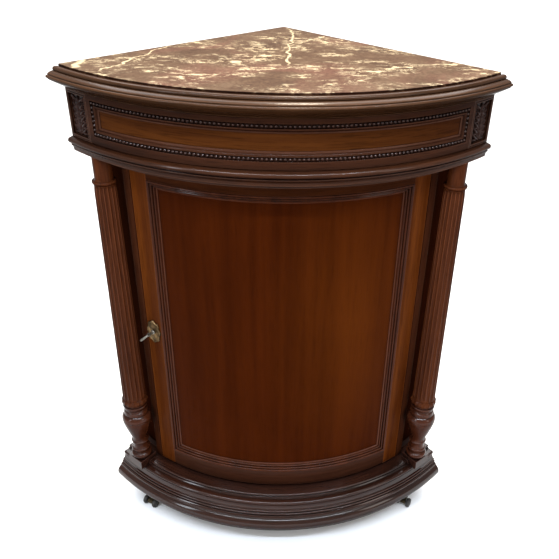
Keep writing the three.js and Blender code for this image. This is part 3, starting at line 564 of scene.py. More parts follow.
# %% [markdown]
# ## Old metals
#
# The brass of the casters' horns is nearly black with age, while the escutcheon is still
# yellow from being touched. One even colour would make them look new. So each metal has a
# bright and a tarnished colour, noise that chooses between them, dirt in the corners and a
# roughness that wanders.

# %% Brass, steel and iron
def old_metal(name, bright, dark, roughness=0.35, metallic=1.0):
    finish, tree, shader = start_finish(name, Metallic=metallic)
    here = object_place(tree)
    tarnish = noise(tree, here, 90, 5, 0.65)
    colour = ramp(tree, tarnish, (0.38, dark), (0.62, bright))
    dirt = tuple(c * 0.15 for c in dark)
    plug_in(
        tree, shader, Base_Color=mix_colours(tree, openness(tree, 0.004), dirt, colour),
        Roughness=calculate(tree, "MULTIPLY_ADD", noise(tree, here, 260, 3), 0.3, roughness - 0.15),
        Normal=relief(tree, tarnish, 0.15, 0.0003),
    )
    return finish


old_brass = old_metal("aged brass", (0.26, 0.165, 0.075), (0.055, 0.036, 0.018))
blackened_brass = old_metal("blackened brass", (0.1, 0.075, 0.04), (0.03, 0.024, 0.015), 0.45)
worn_steel = old_metal("worn steel", (0.24, 0.225, 0.19), (0.09, 0.082, 0.068), 0.42)
dark_iron = old_metal("dark cast iron", (0.07, 0.066, 0.062), (0.03, 0.027, 0.025), 0.5, 0.8)
print("metals:", old_brass.name, worn_steel.name, dark_iron.name, sep=" | ")

# %% [markdown]
# ## Plain wood
#
# The sides and the inside are unpolished wood, which nobody was meant to see. It needs neither
# pores nor polish, so it has a simpler finish of its own. Its grain runs upright in the sides
# and across in the shelf. The back rails lie at a slant, so theirs is drawn out along both
# level directions. The bottom board is stained beside the doorway, where its ends show.

# %% Unpolished wood
doorway_half = math.radians(35.4) * case_radius * MM
stain_starts = 0.435


def stain_beside_door(tree, colour):
    parts = split(tree, bow_place(tree))
    sideways = calculate(tree, "ABSOLUTE", parts[0])
    beside = calculate(tree, "GREATER_THAN", sideways, doorway_half)
    in_front = calculate(tree, "GREATER_THAN", parts[1], stain_starts)
    both = calculate(tree, "MULTIPLY", beside, in_front)
    return mix_colours(tree, both, colour, (0.018, 0.005, 0.002))


def plain_wood(name, pull=(1, 1, 0.05), stained=False):
    finish, tree, shader = start_finish(name, Specular_IOR_Level=0.2)
    here = object_place(tree)
    bands = noise(tree, stretched(tree, here, pull), 42, 5, 0.62, 0.4)
    tan = ((0.17, 0.1, 0.055), (0.27, 0.17, 0.095), (0.36, 0.24, 0.14))
    colour = ramp(tree, bands, *zip((0.34, 0.5, 0.66), tan))
    stains = ramp(tree, noise(tree, here, 5, 4), (0.3, 0.55), (0.6, 1))
    colour = mix_colours(tree, 0.8, colour, stains, "MULTIPLY")
    # Wood within 0.02 m of a corner darkens towards near black: painted shade.
    colour = mix_colours(tree, openness(tree, 0.02), (0.03, 0.02, 0.012), colour)
    if stained:
        colour = stain_beside_door(tree, colour)
    plug_in(
        tree, shader, Base_Color=colour,
        Roughness=calculate(tree, "MULTIPLY_ADD", bands, 0.2, 0.6),
        Normal=relief(tree, bands, 0.2, 0.001),
    )
    return finish


raw_wood = plain_wood("unpolished wood")
lying_wood = plain_wood("unpolished wood, grain across", (0.05, 1, 1))
slanting_wood = plain_wood("unpolished wood of the back rails", (0.05, 0.05, 1))
stained_board = plain_wood("unpolished wood, stained beside the doorway", (0.05, 1, 1), True)
print("made:", raw_wood.name, "and", stained_board.name)

# %% [markdown]
# ## Finishing a piece
#
# Each piece ends in the same way. Its loose doubles are merged, its faces are turned outwards
# and shaded smooth except over sharp edges, and it is shrunk from millimetres to metres. A
# Bevel modifier eases the edges, because no real edge is perfectly sharp and the light
# catches on the easing. Then the piece is tied to the body that carries it, and takes the
# place of the plain solid that it stands for.

# %% Close, shade, ease and place
def link_mesh(name, bm, finish):
    mesh = bpy.data.meshes.new(name)
    bm.to_mesh(mesh)
    bm.free()
    mesh.materials.append(finish)
    made = bpy.data.objects.new(name, mesh)
    bpy.context.collection.objects.link(made)
    return made


def finish_piece(name, bm, finish, *nodes, slot="mahogany", body="carcass", ease=0.35, crease=32):
    bmesh.ops.remove_doubles(bm, verts=bm.verts, dist=0.0005)
    bmesh.ops.recalc_face_normals(bm, faces=bm.faces)
    bmesh.ops.scale(bm, vec=(MM, MM, MM), verts=bm.verts)
    for face in bm.faces:
        face.smooth = True
    for edge in bm.edges:
        edge.smooth = edge.calc_face_angle(0) < math.radians(crease)
    made = link_mesh(name, bm, finish)
    if ease:
        bevel = made.modifiers.new("eased edges", "BEVEL")
        bevel.width = ease * MM
        bevel.segments = 2
        bevel.limit_method = "ANGLE"
        bevel.angle_limit = math.radians(crease)
        bevel.harden_normals = True
    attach(made, body)
    if nodes:
        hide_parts(*nodes)
    print(name, "has", len(made.data.polygons), "faces")
    return made


# %% Turn, move and thicken what is being shaped
def rotate(bm, angle, axis, verts=None):
    turn = Matrix.Rotation(angle, 3, axis)
    bmesh.ops.rotate(bm, cent=(0, 0, 0), matrix=turn, verts=verts or bm.verts)


def move(bm, step, verts=None):
    bmesh.ops.translate(bm, vec=step, verts=verts or bm.verts)


def thicken(bm, faces, step, keep=False):
    grown = bmesh.ops.extrude_face_region(bm, geom=faces, use_keep_orig=keep)["geom"]
    move(bm, step, [item for item in grown if isinstance(item, bmesh.types.BMVert)])
    return grown


def spin(bm, geom, angle, steps, centre=(0, 0, 0), axis=(0, 0, 1), merge=False):
    bmesh.ops.spin(
        bm, geom=geom, cent=centre, axis=axis, angle=angle, steps=steps, use_merge=merge,
    )


print("the sides stand", round(math.degrees(2 * wall_angle)), "degrees apart")

# %% [markdown]
# ## Mouldings that run round the bow
#
# The cornice, the moulding under the frieze and the base are all run with a shaped cutter: one
# section, carried round the arc. In Blender that is a spin. We draw the section as a single
# face standing on the left side's wall, and spin it about the back corner to the right side's
# wall. The spin keeps the first face and the last, so both sawn ends are closed.
#
# A section is written as steps out and up from a near edge of the moulding, and then carried
# to its place, so its numbers are the ones that a ruler would show.

# %% Carry a section to its place and spin it round the bow
bow_steps = 84


def carried(outline, radius, height):
    return [(radius + out, height + up) for out, up in outline]


def run_moulding(outline):
    bm = bmesh.new()
    corners = [bm.verts.new(on_bow(radius, -wall_angle, height)) for radius, height in outline]
    section = bm.faces.new(corners)
    spin(bm, [section, *section.edges, *section.verts], 2 * wall_angle, bow_steps, (0, back_y, 0))
    return bm


print("a moulding is spun in", bow_steps, "steps")

# %% Sections of the cornice and the entablature
def cornice_section():
    seat = marble_radius + 1.7
    tall = cornice_top - frieze_top
    cove = [(0, seam), (0.4, 1.4), (2.4, 2.9), (8.5, 6.4), (17, 11.8)]
    rim = [
        (-4.2, 17.4), (-3.2, 18.8), (-2.8, 20), *curve(-2.6, 22.8, 2.6, -60, 95, 10),
        (-3.6, 24.9), (-3.8, 27.4), (-5, 28.3), (-8.5, 29.7), (-12.6, 30.8), (-14.6, 30.9),
        (-14.9, 31.3), *curve(-18.2, tall - 4.4, 4.4, -12, 90, 10),
    ]
    return [
        (frame_inner, frieze_top + seam),
        *carried(cove, case_radius, frieze_top),
        *carried(rim, cornice_radius, frieze_top),
        (seat + 1, cornice_top), (seat, cornice_top - 1),
        (seat, marble_bottom - seam), (frame_inner, marble_bottom - seam),
    ]


def entablature_section():
    under = soffit - doorway_top
    top = frieze_bottom - seam
    steps = [
        (-26, 0), (-26, under), (-8.5, under), (-8.5, under + 2.6),
        *curve(-1.4, under + 3.6, 7, 180, 125, 6), (-4.9, 21.6), (-4.9, 23.2), (-7.2, 23.7),
        (-7.2, 25.2), *curve(-4.9, 30.4, 4.9, -70, 70, 14),
    ]
    return [
        (frame_inner, doorway_top), *carried(steps, entablature_radius, doorway_top),
        (entablature_radius - 6.6, top - 1), (case_radius, top), (frame_inner, top),
    ]


print("corners of the cornice's section:", len(cornice_section()))

# %% Section of the base
def base_section():
    inner = base_radius - 75
    lip = base_top - plinth_low
    swell = [
        (-8.6, 0), *curve(-17, 19.5, 17, -60, 62, 16), (-9.8, 34.6), (-10, 36), (-11.4, 38.6),
        (-13.2, 40.2), (-15.4, 40.4), *curve(-16.4, 43, 2.3, -70, 90, 8), (-18.2, 45.2),
        *curve(-19, 48, 2.3, -65, 95, 8), (-20.6, 50.6), (-22.4, 54), (-23.4, 58), (-23.6, 60.6),
    ]
    step = [
        (-22.9, -8.2), *curve(-26.6, -4.4, 4.4, -30, 90, 8), (-34.6, 0), (-35.2, 1.4), (-37, 3),
        (-38.4, 3.2), *curve(-39.4, lip - 2.6, 2.6, -50, 90, 8),
    ]
    return [
        (inner, base_bottom), *carried(swell, base_radius, base_bottom),
        *carried(step, base_radius, plinth_low), (inner, base_top),
    ]


print("corners of the base's section:", len(base_section()))

# %% Run the three mouldings
for name, section, wood, node, slot in (
    ("cornice_moulding", cornice_section(), cornice_wood, "cornice", "mahogany"),
    ("entablature", entablature_section(), moulding_wood, "entablature_moulding", "mahogany"),
    ("base_step", base_section(), base_wood, "base_moulding", "dark_mahogany"),
):
    finish_piece(name, run_moulding(section), wood, node, slot=slot)

# %% [markdown]
# ## The marble slab
#
# The slab is a quarter disc, two centimetres thick, with its upper edge eased by the polisher.
# An edge that runs from the back corner out to the rim is spun through the right angle, which
# sweeps out the disc as a fan. Extruding the fan gives the thickness. The seams of the fan are
# dissolved, and the outer edges are beveled more widely than on the wood.

# %% Spin, thicken and ease the slab
slab_steps = 96
slab_ease = 1.4


def join_flat_faces(bm):
    half_degree = math.radians(0.5)
    bmesh.ops.dissolve_limit(bm, angle_limit=half_degree, verts=bm.verts, edges=bm.edges)


def marble_slab():
    bm = bmesh.new()
    back = bm.verts.new(on_bow(0, 0, marble_bottom))
    rim = bm.verts.new(on_bow(marble_radius, -wall_angle, marble_bottom))
    ray = bm.edges.new((back, rim))
    spin(bm, [ray, back, rim], 2 * wall_angle, slab_steps, (0, back_y, 0))
    bmesh.ops.remove_doubles(bm, verts=bm.verts, dist=0.001)
    join_flat_faces(bm)
    thicken(bm, list(bm.faces), (0, 0, marble_top - marble_bottom))
    top_edges = [e for e in bm.edges if all(v.co.z > marble_top - 1 for v in e.verts)]
    bmesh.ops.bevel(
        bm, geom=top_edges, offset=slab_ease, segments=4, profile=0.5, affect="EDGES",
        material=-1,
    )
    return bm


finish_piece("marble_slab", marble_slab(), marble, "marble_top", slot="marble", ease=0.3)

# %% [markdown]
# ## Flat work, bent afterwards
#
# Frames with mitred corners are awkward to spin, but easy to make flat. So the frieze, its
# border, the corner blocks and the whole door are worked as flat boards, seen from the front:
# x runs along the bow, y towards the back and z up. An inset with a depth steps a frame's
# section inwards, and keeps its mitres for us. Then the board is sliced into narrow strips and
# bent round the back corner, exactly as a veneered panel is pressed in a curved mould.

# %% Lay a face, step it inwards, slice and bend
strip_width = 7.0


def flat_face(bm, left, right, low, high):
    turn = Matrix.Translation(((left + right) / 2, 0, (low + high) / 2))
    turn = turn @ Matrix.Rotation(math.pi / 2, 4, "X")
    turn = turn @ Matrix.Diagonal(((right - left) / 2, (high - low) / 2, 1, 1))
    bmesh.ops.create_grid(bm, x_segments=1, y_segments=1, size=1, matrix=turn)
    bm.faces.ensure_lookup_table()
    return bm.faces[-1]


def step_inwards(bm, face, section):
    for (run, rise), (next_run, next_rise) in zip(section, section[1:]):
        bmesh.ops.inset_region(
            bm, faces=[face], thickness=max(next_run - run, 0.001), depth=next_rise - rise,
            use_even_offset=True, use_boundary=True,
        )
    return face


def bend(bm, radius, strip=strip_width):
    bm.verts.ensure_lookup_table()
    left = min(v.co.x for v in bm.verts)
    right = max(v.co.x for v in bm.verts)
    strips = max(1, round((right - left) / strip))
    for step in range(1, strips):
        cut = left + (right - left) * step / strips
        bmesh.ops.bisect_plane(
            bm, geom=[*bm.verts, *bm.edges, *bm.faces], dist=0.0005,
            plane_co=(cut, 0, 0), plane_no=(1, 0, 0),
        )
    for vert in bm.verts:
        angle = vert.co.x / radius
        vert.co = on_bow(radius - vert.co.y, angle, vert.co.z)
    return bm


print("a board is bent in strips of", strip_width, "mm")

# %% A board and a frame
def bowed_board(radius, thickness, left, right, low, high):
    bm = bmesh.new()
    thicken(bm, [flat_face(bm, left, right, low, high)], (0, thickness, 0))
    return bend(bm, radius)


def bowed_frame(radius, section, left, right, low, high, foot=0.0):
    bm = bmesh.new()
    face = flat_face(bm, left, right, low, high)
    step_inwards(bm, face, section)
    bmesh.ops.delete(bm, geom=[face], context="FACES_ONLY")
    bmesh.ops.bridge_loops(bm, edges=[edge for edge in bm.edges if edge.is_boundary])
    move(bm, (0, 0, -foot), [v for v in bm.verts if v.co.z < low + 1])
    return bend(bm, radius)


print("made: bowed_board and bowed_frame")

# %% [markdown]
# ## The frieze
#
# The frieze is a bowed board with a raised border. A groove in the border holds a row of
# turned beads, and inside it the veneered field lies a few millimetres lower. The joiner would
# mitre four sticks. One face stepped inwards gives the same corners, and they stay closed. The
# section goes up the outer wall, along the flat, down into the groove and out of it, over a
# rounded edge, and down to the field.

# %% Frieze measures
frieze_half = block_angle * case_radius - seam
border_rise = 5.2
border_width = 24.5
bead_inset = 12.5
bead_radius = 2.9
bead_depth = 2.1
bead_pitch = 7.2
ground_radius = case_radius - border_rise
ground_share = ground_radius / case_radius
field_thickness = 20.8 - seam
frieze_foot = 5.5
print("the frieze is", round(2 * frieze_half), "mm long round the bow")


# %% Board and border
def frieze_border_section():
    groove = bead_radius + 1
    floor_of_groove = border_rise - 3.2
    return [
        (0, 0), (0, border_rise - 0.6), (0.6, border_rise), (bead_inset - groove, border_rise),
        (bead_inset - groove + 0.4, floor_of_groove), (bead_inset + groove - 0.4, floor_of_groove),
        (bead_inset + groove, border_rise - 0.2),
        *curve(bead_inset + 5.2, border_rise - 3.4, 3.2, 85, 20, 5),
        (border_width - 3, 1.8), (border_width, 1.2), (border_width, 0),
    ]


field_half = frieze_half * ground_share
field = bowed_board(
    ground_radius, field_thickness, -field_half, field_half, frieze_bottom, frieze_top,
)
finish_piece("frieze_field", field, frieze_wood, "frieze_board", ease=0.2)
border = bowed_frame(
    ground_radius, frieze_border_section(), -field_half, field_half,
    frieze_bottom + frieze_foot, frieze_top, foot=frieze_foot,
)
finish_piece("frieze_frame", border, frieze_frame_wood, "frieze_border", ease=0.25)

# %% [markdown]
# ## The rows of beads
#
# A bead row is cut by the carver from one strip, but each bead is close to a ball. A bump in
# the finish would save faces, but the beads catch the light one by one, so they are real.
# There are well over a hundred, so each gets only a few dozen faces, and smooth shading hides
# that. The count on each side is rounded, so the rows meet at the corners with a whole bead.

# %% Walk round the groove and set the beads
def bead_places():
    half = frieze_half - bead_inset
    low = frieze_bottom + frieze_foot + bead_inset
    high = frieze_top - bead_inset
    along = round(2 * half / bead_pitch)
    upright = round((high - low) / bead_pitch)
    for step in range(along):
        run = -half + 2 * half * step / along
        yield run, low
        yield -run, high
    for step in range(upright):
        rise = (high - low) * step / upright
        yield half, low + rise
        yield -half, high - rise


def small_ball(bm, radius, matrix):
    bmesh.ops.create_uvsphere(bm, u_segments=8, v_segments=6, radius=radius, matrix=matrix)


def bead_rows():
    bm = bmesh.new()
    centre = case_radius - bead_depth
    lying = Matrix.Rotation(math.pi / 2, 4, "X")
    for run, height in bead_places():
        angle = run / case_radius
        spot = Matrix.Translation(on_bow(centre, angle, height))
        small_ball(bm, bead_radius, spot @ (Matrix.Rotation(angle, 4, "Z") @ lying))
    return bm


finish_piece(
    "bead_rows", bead_rows(), bead_wood, "frieze_beading", slot="dark_mahogany", ease=0, crease=80,
)
print("beads:", len(list(bead_places())))

# %% [markdown]
# ## The corner blocks
#
# At each end of the frieze a block turns the corner. It has a narrow raised border, and inside
# it carved leaves climb a stem on a dark ground. The block runs the full depth of the frame,
# because its sawn end is what we see from the side.
#
# Carving could be painted on as bump, but here its deep shadows are most of what shows. So the
# leaves are real shapes. One leaf starts as a ball: it is drawn out long, pinched towards the
# tip, sharpened to a keel down the middle, and its tip is curled forwards. All the leaves are
# this one leaf, turned and sized.

# %% One carved leaf
def leaf(bm, place, length, width, turn, rise=2.6, curl=1.2):
    grown = bmesh.ops.create_uvsphere(bm, u_segments=8, v_segments=7, radius=1)["verts"]
    for vert in grown:
        across, front, along = vert.co
        share = (along + 1) / 2
        fullness = 1.25 - 0.75 * share
        keel = 1 - 0.55 * abs(across)
        vert.co = Vector((
            across * fullness * width / 2, front * rise * keel - curl * share ** 2, share * length,
        ))
    rotate(bm, math.radians(turn), "Y", grown)
    move(bm, (place[0], 0, place[1]), grown)


trial = bmesh.new()
leaf(trial, (0, 0), 15, 9, 0)
print("one leaf has", len(trial.faces), "faces")
trial.free()


# %% A scroll of shrinking beads
def scroll(bm, place, size, side, beads=7):
    for step in range(beads):
        turn = math.radians(-60 + 62 * step)
        reach = size * (1 - 0.75 * step / beads)
        centre = (place[0] + side * reach * math.cos(turn), 0, place[1] + reach * math.sin(turn))
        drawn_out = Matrix.Translation(centre) @ Matrix.Diagonal((1, 1.25, 1, 1))
        small_ball(bm, size * (0.34 - 0.018 * step), drawn_out)


print("a scroll has", scroll.__defaults__[0], "beads")

# %% The spray of leaves on a block
leaf_tiers = 5


def foliage(middle, half_width, low, high):
    bm = bmesh.new()
    tall = high - low
    stem = [(0.2, 0), (2.2, 1), (1.1, 5), (1.4, 0.3 * tall), (1, 0.62 * tall), (0.2, tall - 4)]
    for radius, rise in stem:
        small_ball(bm, radius + 0.8, Matrix.Translation((0, 0, low + 2 + rise)))
    leaf(bm, (0, low + 2), tall - 6, 3.2, 0, 2.2, 0.4)
    leaf(bm, (0, high - 17), 15, 9, 0, 3, 1.6)
    for side in (-1, 1):
        leaf(bm, (side, high - 12), half_width, 7, side * 64, 2.8, 1.2)
        leaf(bm, (side * half_width * 0.55, high - 11), 10, 6, side * 20, 2.6, 1)
        for tier in range(leaf_tiers):
            root = low + 2 + tier * (tall - 16) / leaf_tiers
            size = half_width * (1 - 0.06 * tier)
            leaf(bm, (side, root), size * 1.05, 8.5, side * 52, 3.2, 1.8)
            leaf(bm, (side, root + 2), size * 0.8, 6.5, side * 24, 2.8, 1.6)
            leaf(bm, (side * 2, root + 1), size * 0.85, 6, side * 86, 2.6, 1.2)
            scroll(bm, (side * size * 0.66, root + 9), 4.6, side)
    move(bm, (middle, 0, 0))
    # Leaves are small, so the whole spray is bent as one strip.
    return bend(bm, ground_radius, strip=tall * 100)


print("leaves on one block:", 2 + 2 * (2 + 3 * leaf_tiers))

# %% Block, border and leaves
block_border = [
    (0, 0), (0, border_rise - 0.6), (0.6, border_rise), (2.6, border_rise),
    (2.9, border_rise - 0.9), *curve(4.6, border_rise - 1, 1.5, 150, 20, 5),
    (6.2, border_rise - 2.4), (6.4, 0),
]
leaf_margin = 7


def corner_block(name, start, end):
    place = (start * ground_share, end * ground_share, frieze_bottom, frieze_top)
    block = bowed_board(ground_radius, ground_radius - frame_inner, *place)
    border = bowed_frame(ground_radius, block_border, *place)
    leaves = foliage(
        (start + end) / 2 * ground_share, (end - start) / 2 - leaf_margin - 0.5,
        frieze_bottom + leaf_margin, frieze_top - leaf_margin,
    )
    finish_piece("block_ground_" + name, block, carved_wood, "corner_block_" + name, ease=0.3)
    node = "corner_block_border_" + name
    finish_piece("block_frame_" + name, border, moulding_wood, node, ease=0.2)
    finish_piece("block_leaves_" + name, leaves, carved_wood, ease=0, crease=80)


inner_end, outer_end = block_angle * case_radius + seam, wall_angle * case_radius
corner_block("left", -outer_end, -inner_end)
corner_block("right", inner_end, outer_end)

# %% [markdown]
# ## The columns
#
# Each column stands free in front of its corner post. A square plinth carries a turned foot,
# and on the foot stands a fluted shaft with a ring and a plain neck. Turned work is the
# easiest of all to model: the section of one side is drawn from the floor up, and spun right
# round the axis.

# %% Turn a section on the lathe
lathe_steps = 48


def turned(outline, centre=(0, 0), steps=lathe_steps):
    bm = bmesh.new()
    points = [bm.verts.new((radius, 0, height)) for radius, height in outline]
    line = [bm.edges.new(pair) for pair in zip(points, points[1:])]
    spin(bm, [*points, *line], 2 * math.pi, steps, merge=True)
    bmesh.ops.remove_doubles(bm, verts=bm.verts, dist=0.001)
    move(bm, (*centre, 0))
    return bm


print("a turned piece has", lathe_steps, "sides")

# %% Section of the column's foot
plinth_side = 42
plinth_height = 21.5
foot_low = plinth_low + plinth_height + seam
foot_top = foot_low + 156
neck_radius = 16.3


def foot_section():
    stem = [
        (0, 0), (18.5, 0), (18.8, 2), *curve(16, 8, 6.5, -58, 70, 12), (17.4, 14.6), (17.2, 17),
        (17.6, 20.2), *curve(16.4, 24, 3.4, -60, 75, 10), (16.8, 28), (16.2, 31),
        (neck_radius - 0.2, 38), (16.8, 43.4), (18.2, 44.6), (18.7, 46), (18.2, 47.4),
        (16.6, 48.4), (16.1, 52), (neck_radius, 56),
    ]
    vase = [
        (17.4, -53), (18.8, -48), (20.8, -42), (23.3, -34), (25.6, -26), (27.9, -18), (29.8, -10),
        (30.8, -4), (31, -0.8), (30.2, 0), (31.3, 0.8), *curve(16.3, 2, 15, 4, 58, 12),
        (24.6, 15.8), (25.8, 16.4), (25.8, 20.4), *curve(27.8, 29, 5.2, -125, -235, 9),
    ]
    lip = [(25.2, -8.6), (25.9, -6.4), (25.2, -4.2), (23.4, -3.4), (23.4, 0), (0, 0)]
    return [
        *carried(stem, 0, foot_low), *carried(vase, 0, foot_top - 44), *carried(lip, 0, foot_top),
    ]


print("the foot's widest radius is", max(radius for radius, height in foot_section()), "mm")

# %% [markdown]
# ## Flutes
#
# The shaft can't be spun, because its section isn't round: sixteen hollow flutes lie between
# narrow flat ridges. So we start from a ring of vertices and extrude it upwards, level by
# level. At each level every vertex is drawn in towards the axis by the depth of the flute
# there. Where the depth falls to nothing, at the ring and at the foot, the flutes run out in
# a round end.

# %% Levels of the shaft
flute_count = 16
flute_points = 10
flute_share = 0.82
shaft_low = foot_top + seam
ring_level = soffit - seam - 42


def shaft_levels():
    length = ring_level - shaft_low
    levels = [
        (23.6, 0, 0), (25.8, 0.4, 1), (27.0, 0.9, 3.2), (27.5, 1.3, 6.4), (27.2, 1.5, 9.2),
        (26.1, 1.2, 11.4), (24.2, 0.2, 12.6), (23.4, 0, 13.6), (23.8, 0, 15.4), (23.9, 0.9, 16.6),
        (23.9, 1.5, 18.4), (23.9, 1.9, 21.5), (23.8, 2.1, 28),
    ]
    levels += [(23.9 - 4.5 * share, 2.1, share * length) for share in (0.2, 0.4, 0.6, 0.8, 0.95)]
    levels += [(18.9, depth, length - drop) for depth, drop in
               ((2.0, 16), (1.8, 14), (1.4, 12.5), (0.7, 11.2), (0, 10.5))]
    levels += [(18.6, 0, length - 9), (20.2, 0, length - 7.4)]
    levels += [(19.7 + 1.8 * math.sin(turn), 0, length - 4.8 - 2.6 * math.cos(turn))
               for turn in (0.5, 1.0, 1.57, 2.14, 2.64)]
    levels += [(17.4, 0, length - 1.6), (16.5, 0, length)]
    levels += [(neck_radius, 0, length + above) for above in (4, 26, 42)]
    return levels


print("the shaft is extruded through", len(shaft_levels()), "levels")

# %% Cut the flutes
def flute_cuts():
    for point in range(flute_count * flute_points):
        across = abs((point % flute_points) / flute_points * 2 - 1)
        yield math.sqrt(1 - min(1.0, across / flute_share) ** 2)


def next_ring(bm, ring):
    around = set(ring)
    edges = {edge for v in ring for edge in v.link_edges if around.issuperset(edge.verts)}
    grown = bmesh.ops.extrude_edge_only(bm, edges=list(edges))["geom"]
    above = {v.co.to_tuple(4): v for v in grown if isinstance(v, bmesh.types.BMVert)}
    return [above[v.co.to_tuple(4)] for v in ring]


def fluted_shaft(centre, turn):
    bm = bmesh.new()
    cuts = list(flute_cuts())
    ring = bmesh.ops.create_circle(bm, segments=len(cuts), radius=1, cap_ends=False)["verts"]
    directions = [v.co.normalized() for v in ring]
    for number, (radius, depth, rise) in enumerate(shaft_levels()):
        if number:
            ring = next_ring(bm, ring)
        for vert, direction, cut in zip(ring, directions, cuts):
            vert.co = direction * (radius - cut * depth)
            vert.co.z = shaft_low + rise
    bmesh.ops.holes_fill(bm, edges=[e for e in bm.edges if e.is_boundary])
    rotate(bm, turn, "Z")
    move(bm, (*centre, 0))
    return bm


print("points round the shaft:", flute_count * flute_points)

# %% Plinth, foot and shaft, twice
def plinth(place, turn):
    bm = bmesh.new()
    size = Matrix.Diagonal((plinth_side, plinth_side, plinth_height, 1))
    lift = Matrix.Translation((*place, plinth_low + plinth_height / 2))
    bmesh.ops.create_cube(bm, size=1, matrix=lift @ Matrix.Rotation(turn, 4, "Z") @ size)
    return bm


for name, angle in (("left", -column_angle), ("right", column_angle)):
    place = on_bow(column_from_corner, angle, 0).xy
    block, foot = plinth(place, angle), turned(foot_section(), place)
    node = "column_plinth_" + name
    finish_piece("plinth_" + name, block, base_wood, node, slot="dark_mahogany", ease=0.8)
    finish_piece("turned_foot_" + name, foot, foot_wood, "column_foot_" + name, ease=0)
    shaft = fluted_shaft(place, angle)
    finish_piece("fluted_shaft_" + name, shaft, upright_wood, "column_shaft_" + name, ease=0)

# %% [markdown]
# ## The door
#
# The door is a frame of two stiles and two rails round a bowed panel. A reeded moulding, three
# small beads in steps, covers the joint between them. One bent sheet with cuts drawn on it
# would look alike from afar. But on the real door they are separate boards, with the grain
# upright on the stiles and the panel and along the bow on the rails. So each is a board of its
# own, flat at first, and bent like the frieze.

# %% Door measures
door_thickness = 22
panel_thickness = 7
door_gap = 2.5
door_low = base_top + door_gap
door_high = doorway_top - door_gap
stile_width = 36.8
opening_low = door_low + 40
opening_high = door_high - 24
panel_radius = door_radius - 10
door_half = door_half_angle * door_radius
panel_half = door_half - stile_width
end_trim = 0.2
print("the door is", round(2 * door_half), "mm wide round the bow")

# %% Stiles, rails and panel
rail_half = panel_half - seam
for name, node, wood, left, right, low, high in (
    ("stile_right", "door_stile_hinge", stile_wood, panel_half, door_half, door_low, door_high),
    ("stile_left", "door_stile_lock", stile_wood, -door_half, -panel_half, door_low, door_high),
    ("rail_top", "door_rail_top", rail_wood, -rail_half, rail_half, opening_high, door_high),
    ("rail_bottom", "door_rail_bottom", low_rail_wood, -rail_half, rail_half, door_low, opening_low),
):
    low = low + end_trim if low == door_low else low
    high = high - end_trim if high == door_high else high
    board = bowed_board(door_radius, door_thickness, left, right, low, high)
    finish_piece(name, board, wood, node, slot="door_veneer", body="door", ease=0.5)


def opening_at(radius):
    half = rail_half * radius / door_radius
    return -half, half, opening_low + seam, opening_high - seam


panel = bowed_board(panel_radius, panel_thickness, *opening_at(panel_radius))
finish_piece("bowed_panel", panel, door_wood, "door_panel", slot="door_veneer", body="door")


# %% The reeded moulding
def reeded_section():
    reed = 4.0
    top = 9.7
    return [
        (0, 0), (0, top + 0.8), *curve(reed * 0.55, top - 0.6, 1.7, 130, 20, 6),
        (reed * 1.1, top - 2.6), *curve(reed * 1.6, top - 3.4, 1.8, 125, 15, 6),
        (reed * 2.15, top - 5.4), *curve(reed * 2.7, top - 6.2, 1.8, 120, 10, 6),
        (reed * 3.3, 1.6), (reed * 4, 0.8), (reed * 4, 0),
    ]


reed_radius = panel_radius + seam
reeding = bowed_frame(reed_radius, reeded_section(), *opening_at(reed_radius))
finish_piece(
    "reeded_moulding", reeding, reed_wood, "door_moulding", slot="door_veneer", body="door",
    ease=0, crease=50,
)

# %% [markdown]
# ## Straight joinery
#
# Posts, rails and boards of the carcass have the right shape already. Their solids are loose
# triangles, though, and can't be eased as they are. So a copy is merged and its flat faces are
# joined up again, and then it gets the same easing as everything else. The posts beside the
# door are mahogany in a darker tone, and the boards behind the columns are mahogany darkened
# further still as painted shade.

# %% Copy a plain solid and ease it
def eased_copy(name, node, finish, slot, body="carcass", ease=0.6):
    bm = bmesh.new()
    bm.from_mesh(frame["nodes"][node].data)
    bmesh.ops.scale(bm, vec=(1 / MM, 1 / MM, 1 / MM), verts=bm.verts)
    bmesh.ops.remove_doubles(bm, verts=bm.verts, dist=0.01)
    join_flat_faces(bm)
    return finish_piece(name, bm, finish, node, slot=slot, body=body, ease=ease)


wood_of_joinery = {
    "corner_post": post_wood, "column_backboard": shaded_wood, "back_post": raw_wood,
    "side_panel": raw_wood, "door_stop": raw_wood, "shelf_batten": raw_wood, "shelf": lying_wood,
    "bottom_board": stained_board, "base_rail": slanting_wood, "top_rail": slanting_wood,
}
for node in sorted(frame["nodes"]):
    for start, wood in wood_of_joinery.items():
        if node.startswith(start):
            slot = "mahogany" if wood in (post_wood, shaded_wood) else "carcass_wood"
            eased_copy("eased_" + node, node, wood, slot)
            break

# %% [markdown]
# ## The key and its escutcheon
#
# The key stands in its hole all the time, and is the door's only handle. Its stem and collar
# are turned, like the columns. Its bow could be a ready-made torus. A bar spun to a ring makes
# one with as many sides as we like, and it is then flattened to an oval.
#
# The escutcheon is a thin brass plate with scalloped edges and a raised rim. Both are worked
# upright at the world's middle, where sizes are easy to see, and then bent or carried to the
# keyhole.

# %% Measures at the keyhole
lock_angle = math.radians(-32.4)
lock_height = 486
lock_from_corner = door_radius - door_thickness - 2 * seam - 5
bolt_half = 3.5 / 2
key_tip = lock_from_corner + bolt_half + 1.2
plate_low = door_radius + seam
plate_thickness = 2.4
collar_low = plate_low + plate_thickness + seam
stem_end = collar_low + 15
bow_radius = 11.8
bar_radius = 2.2
key_rest_turn = math.radians(45)
print("the key is", round(stem_end + 2 * bow_radius - key_tip), "mm long")


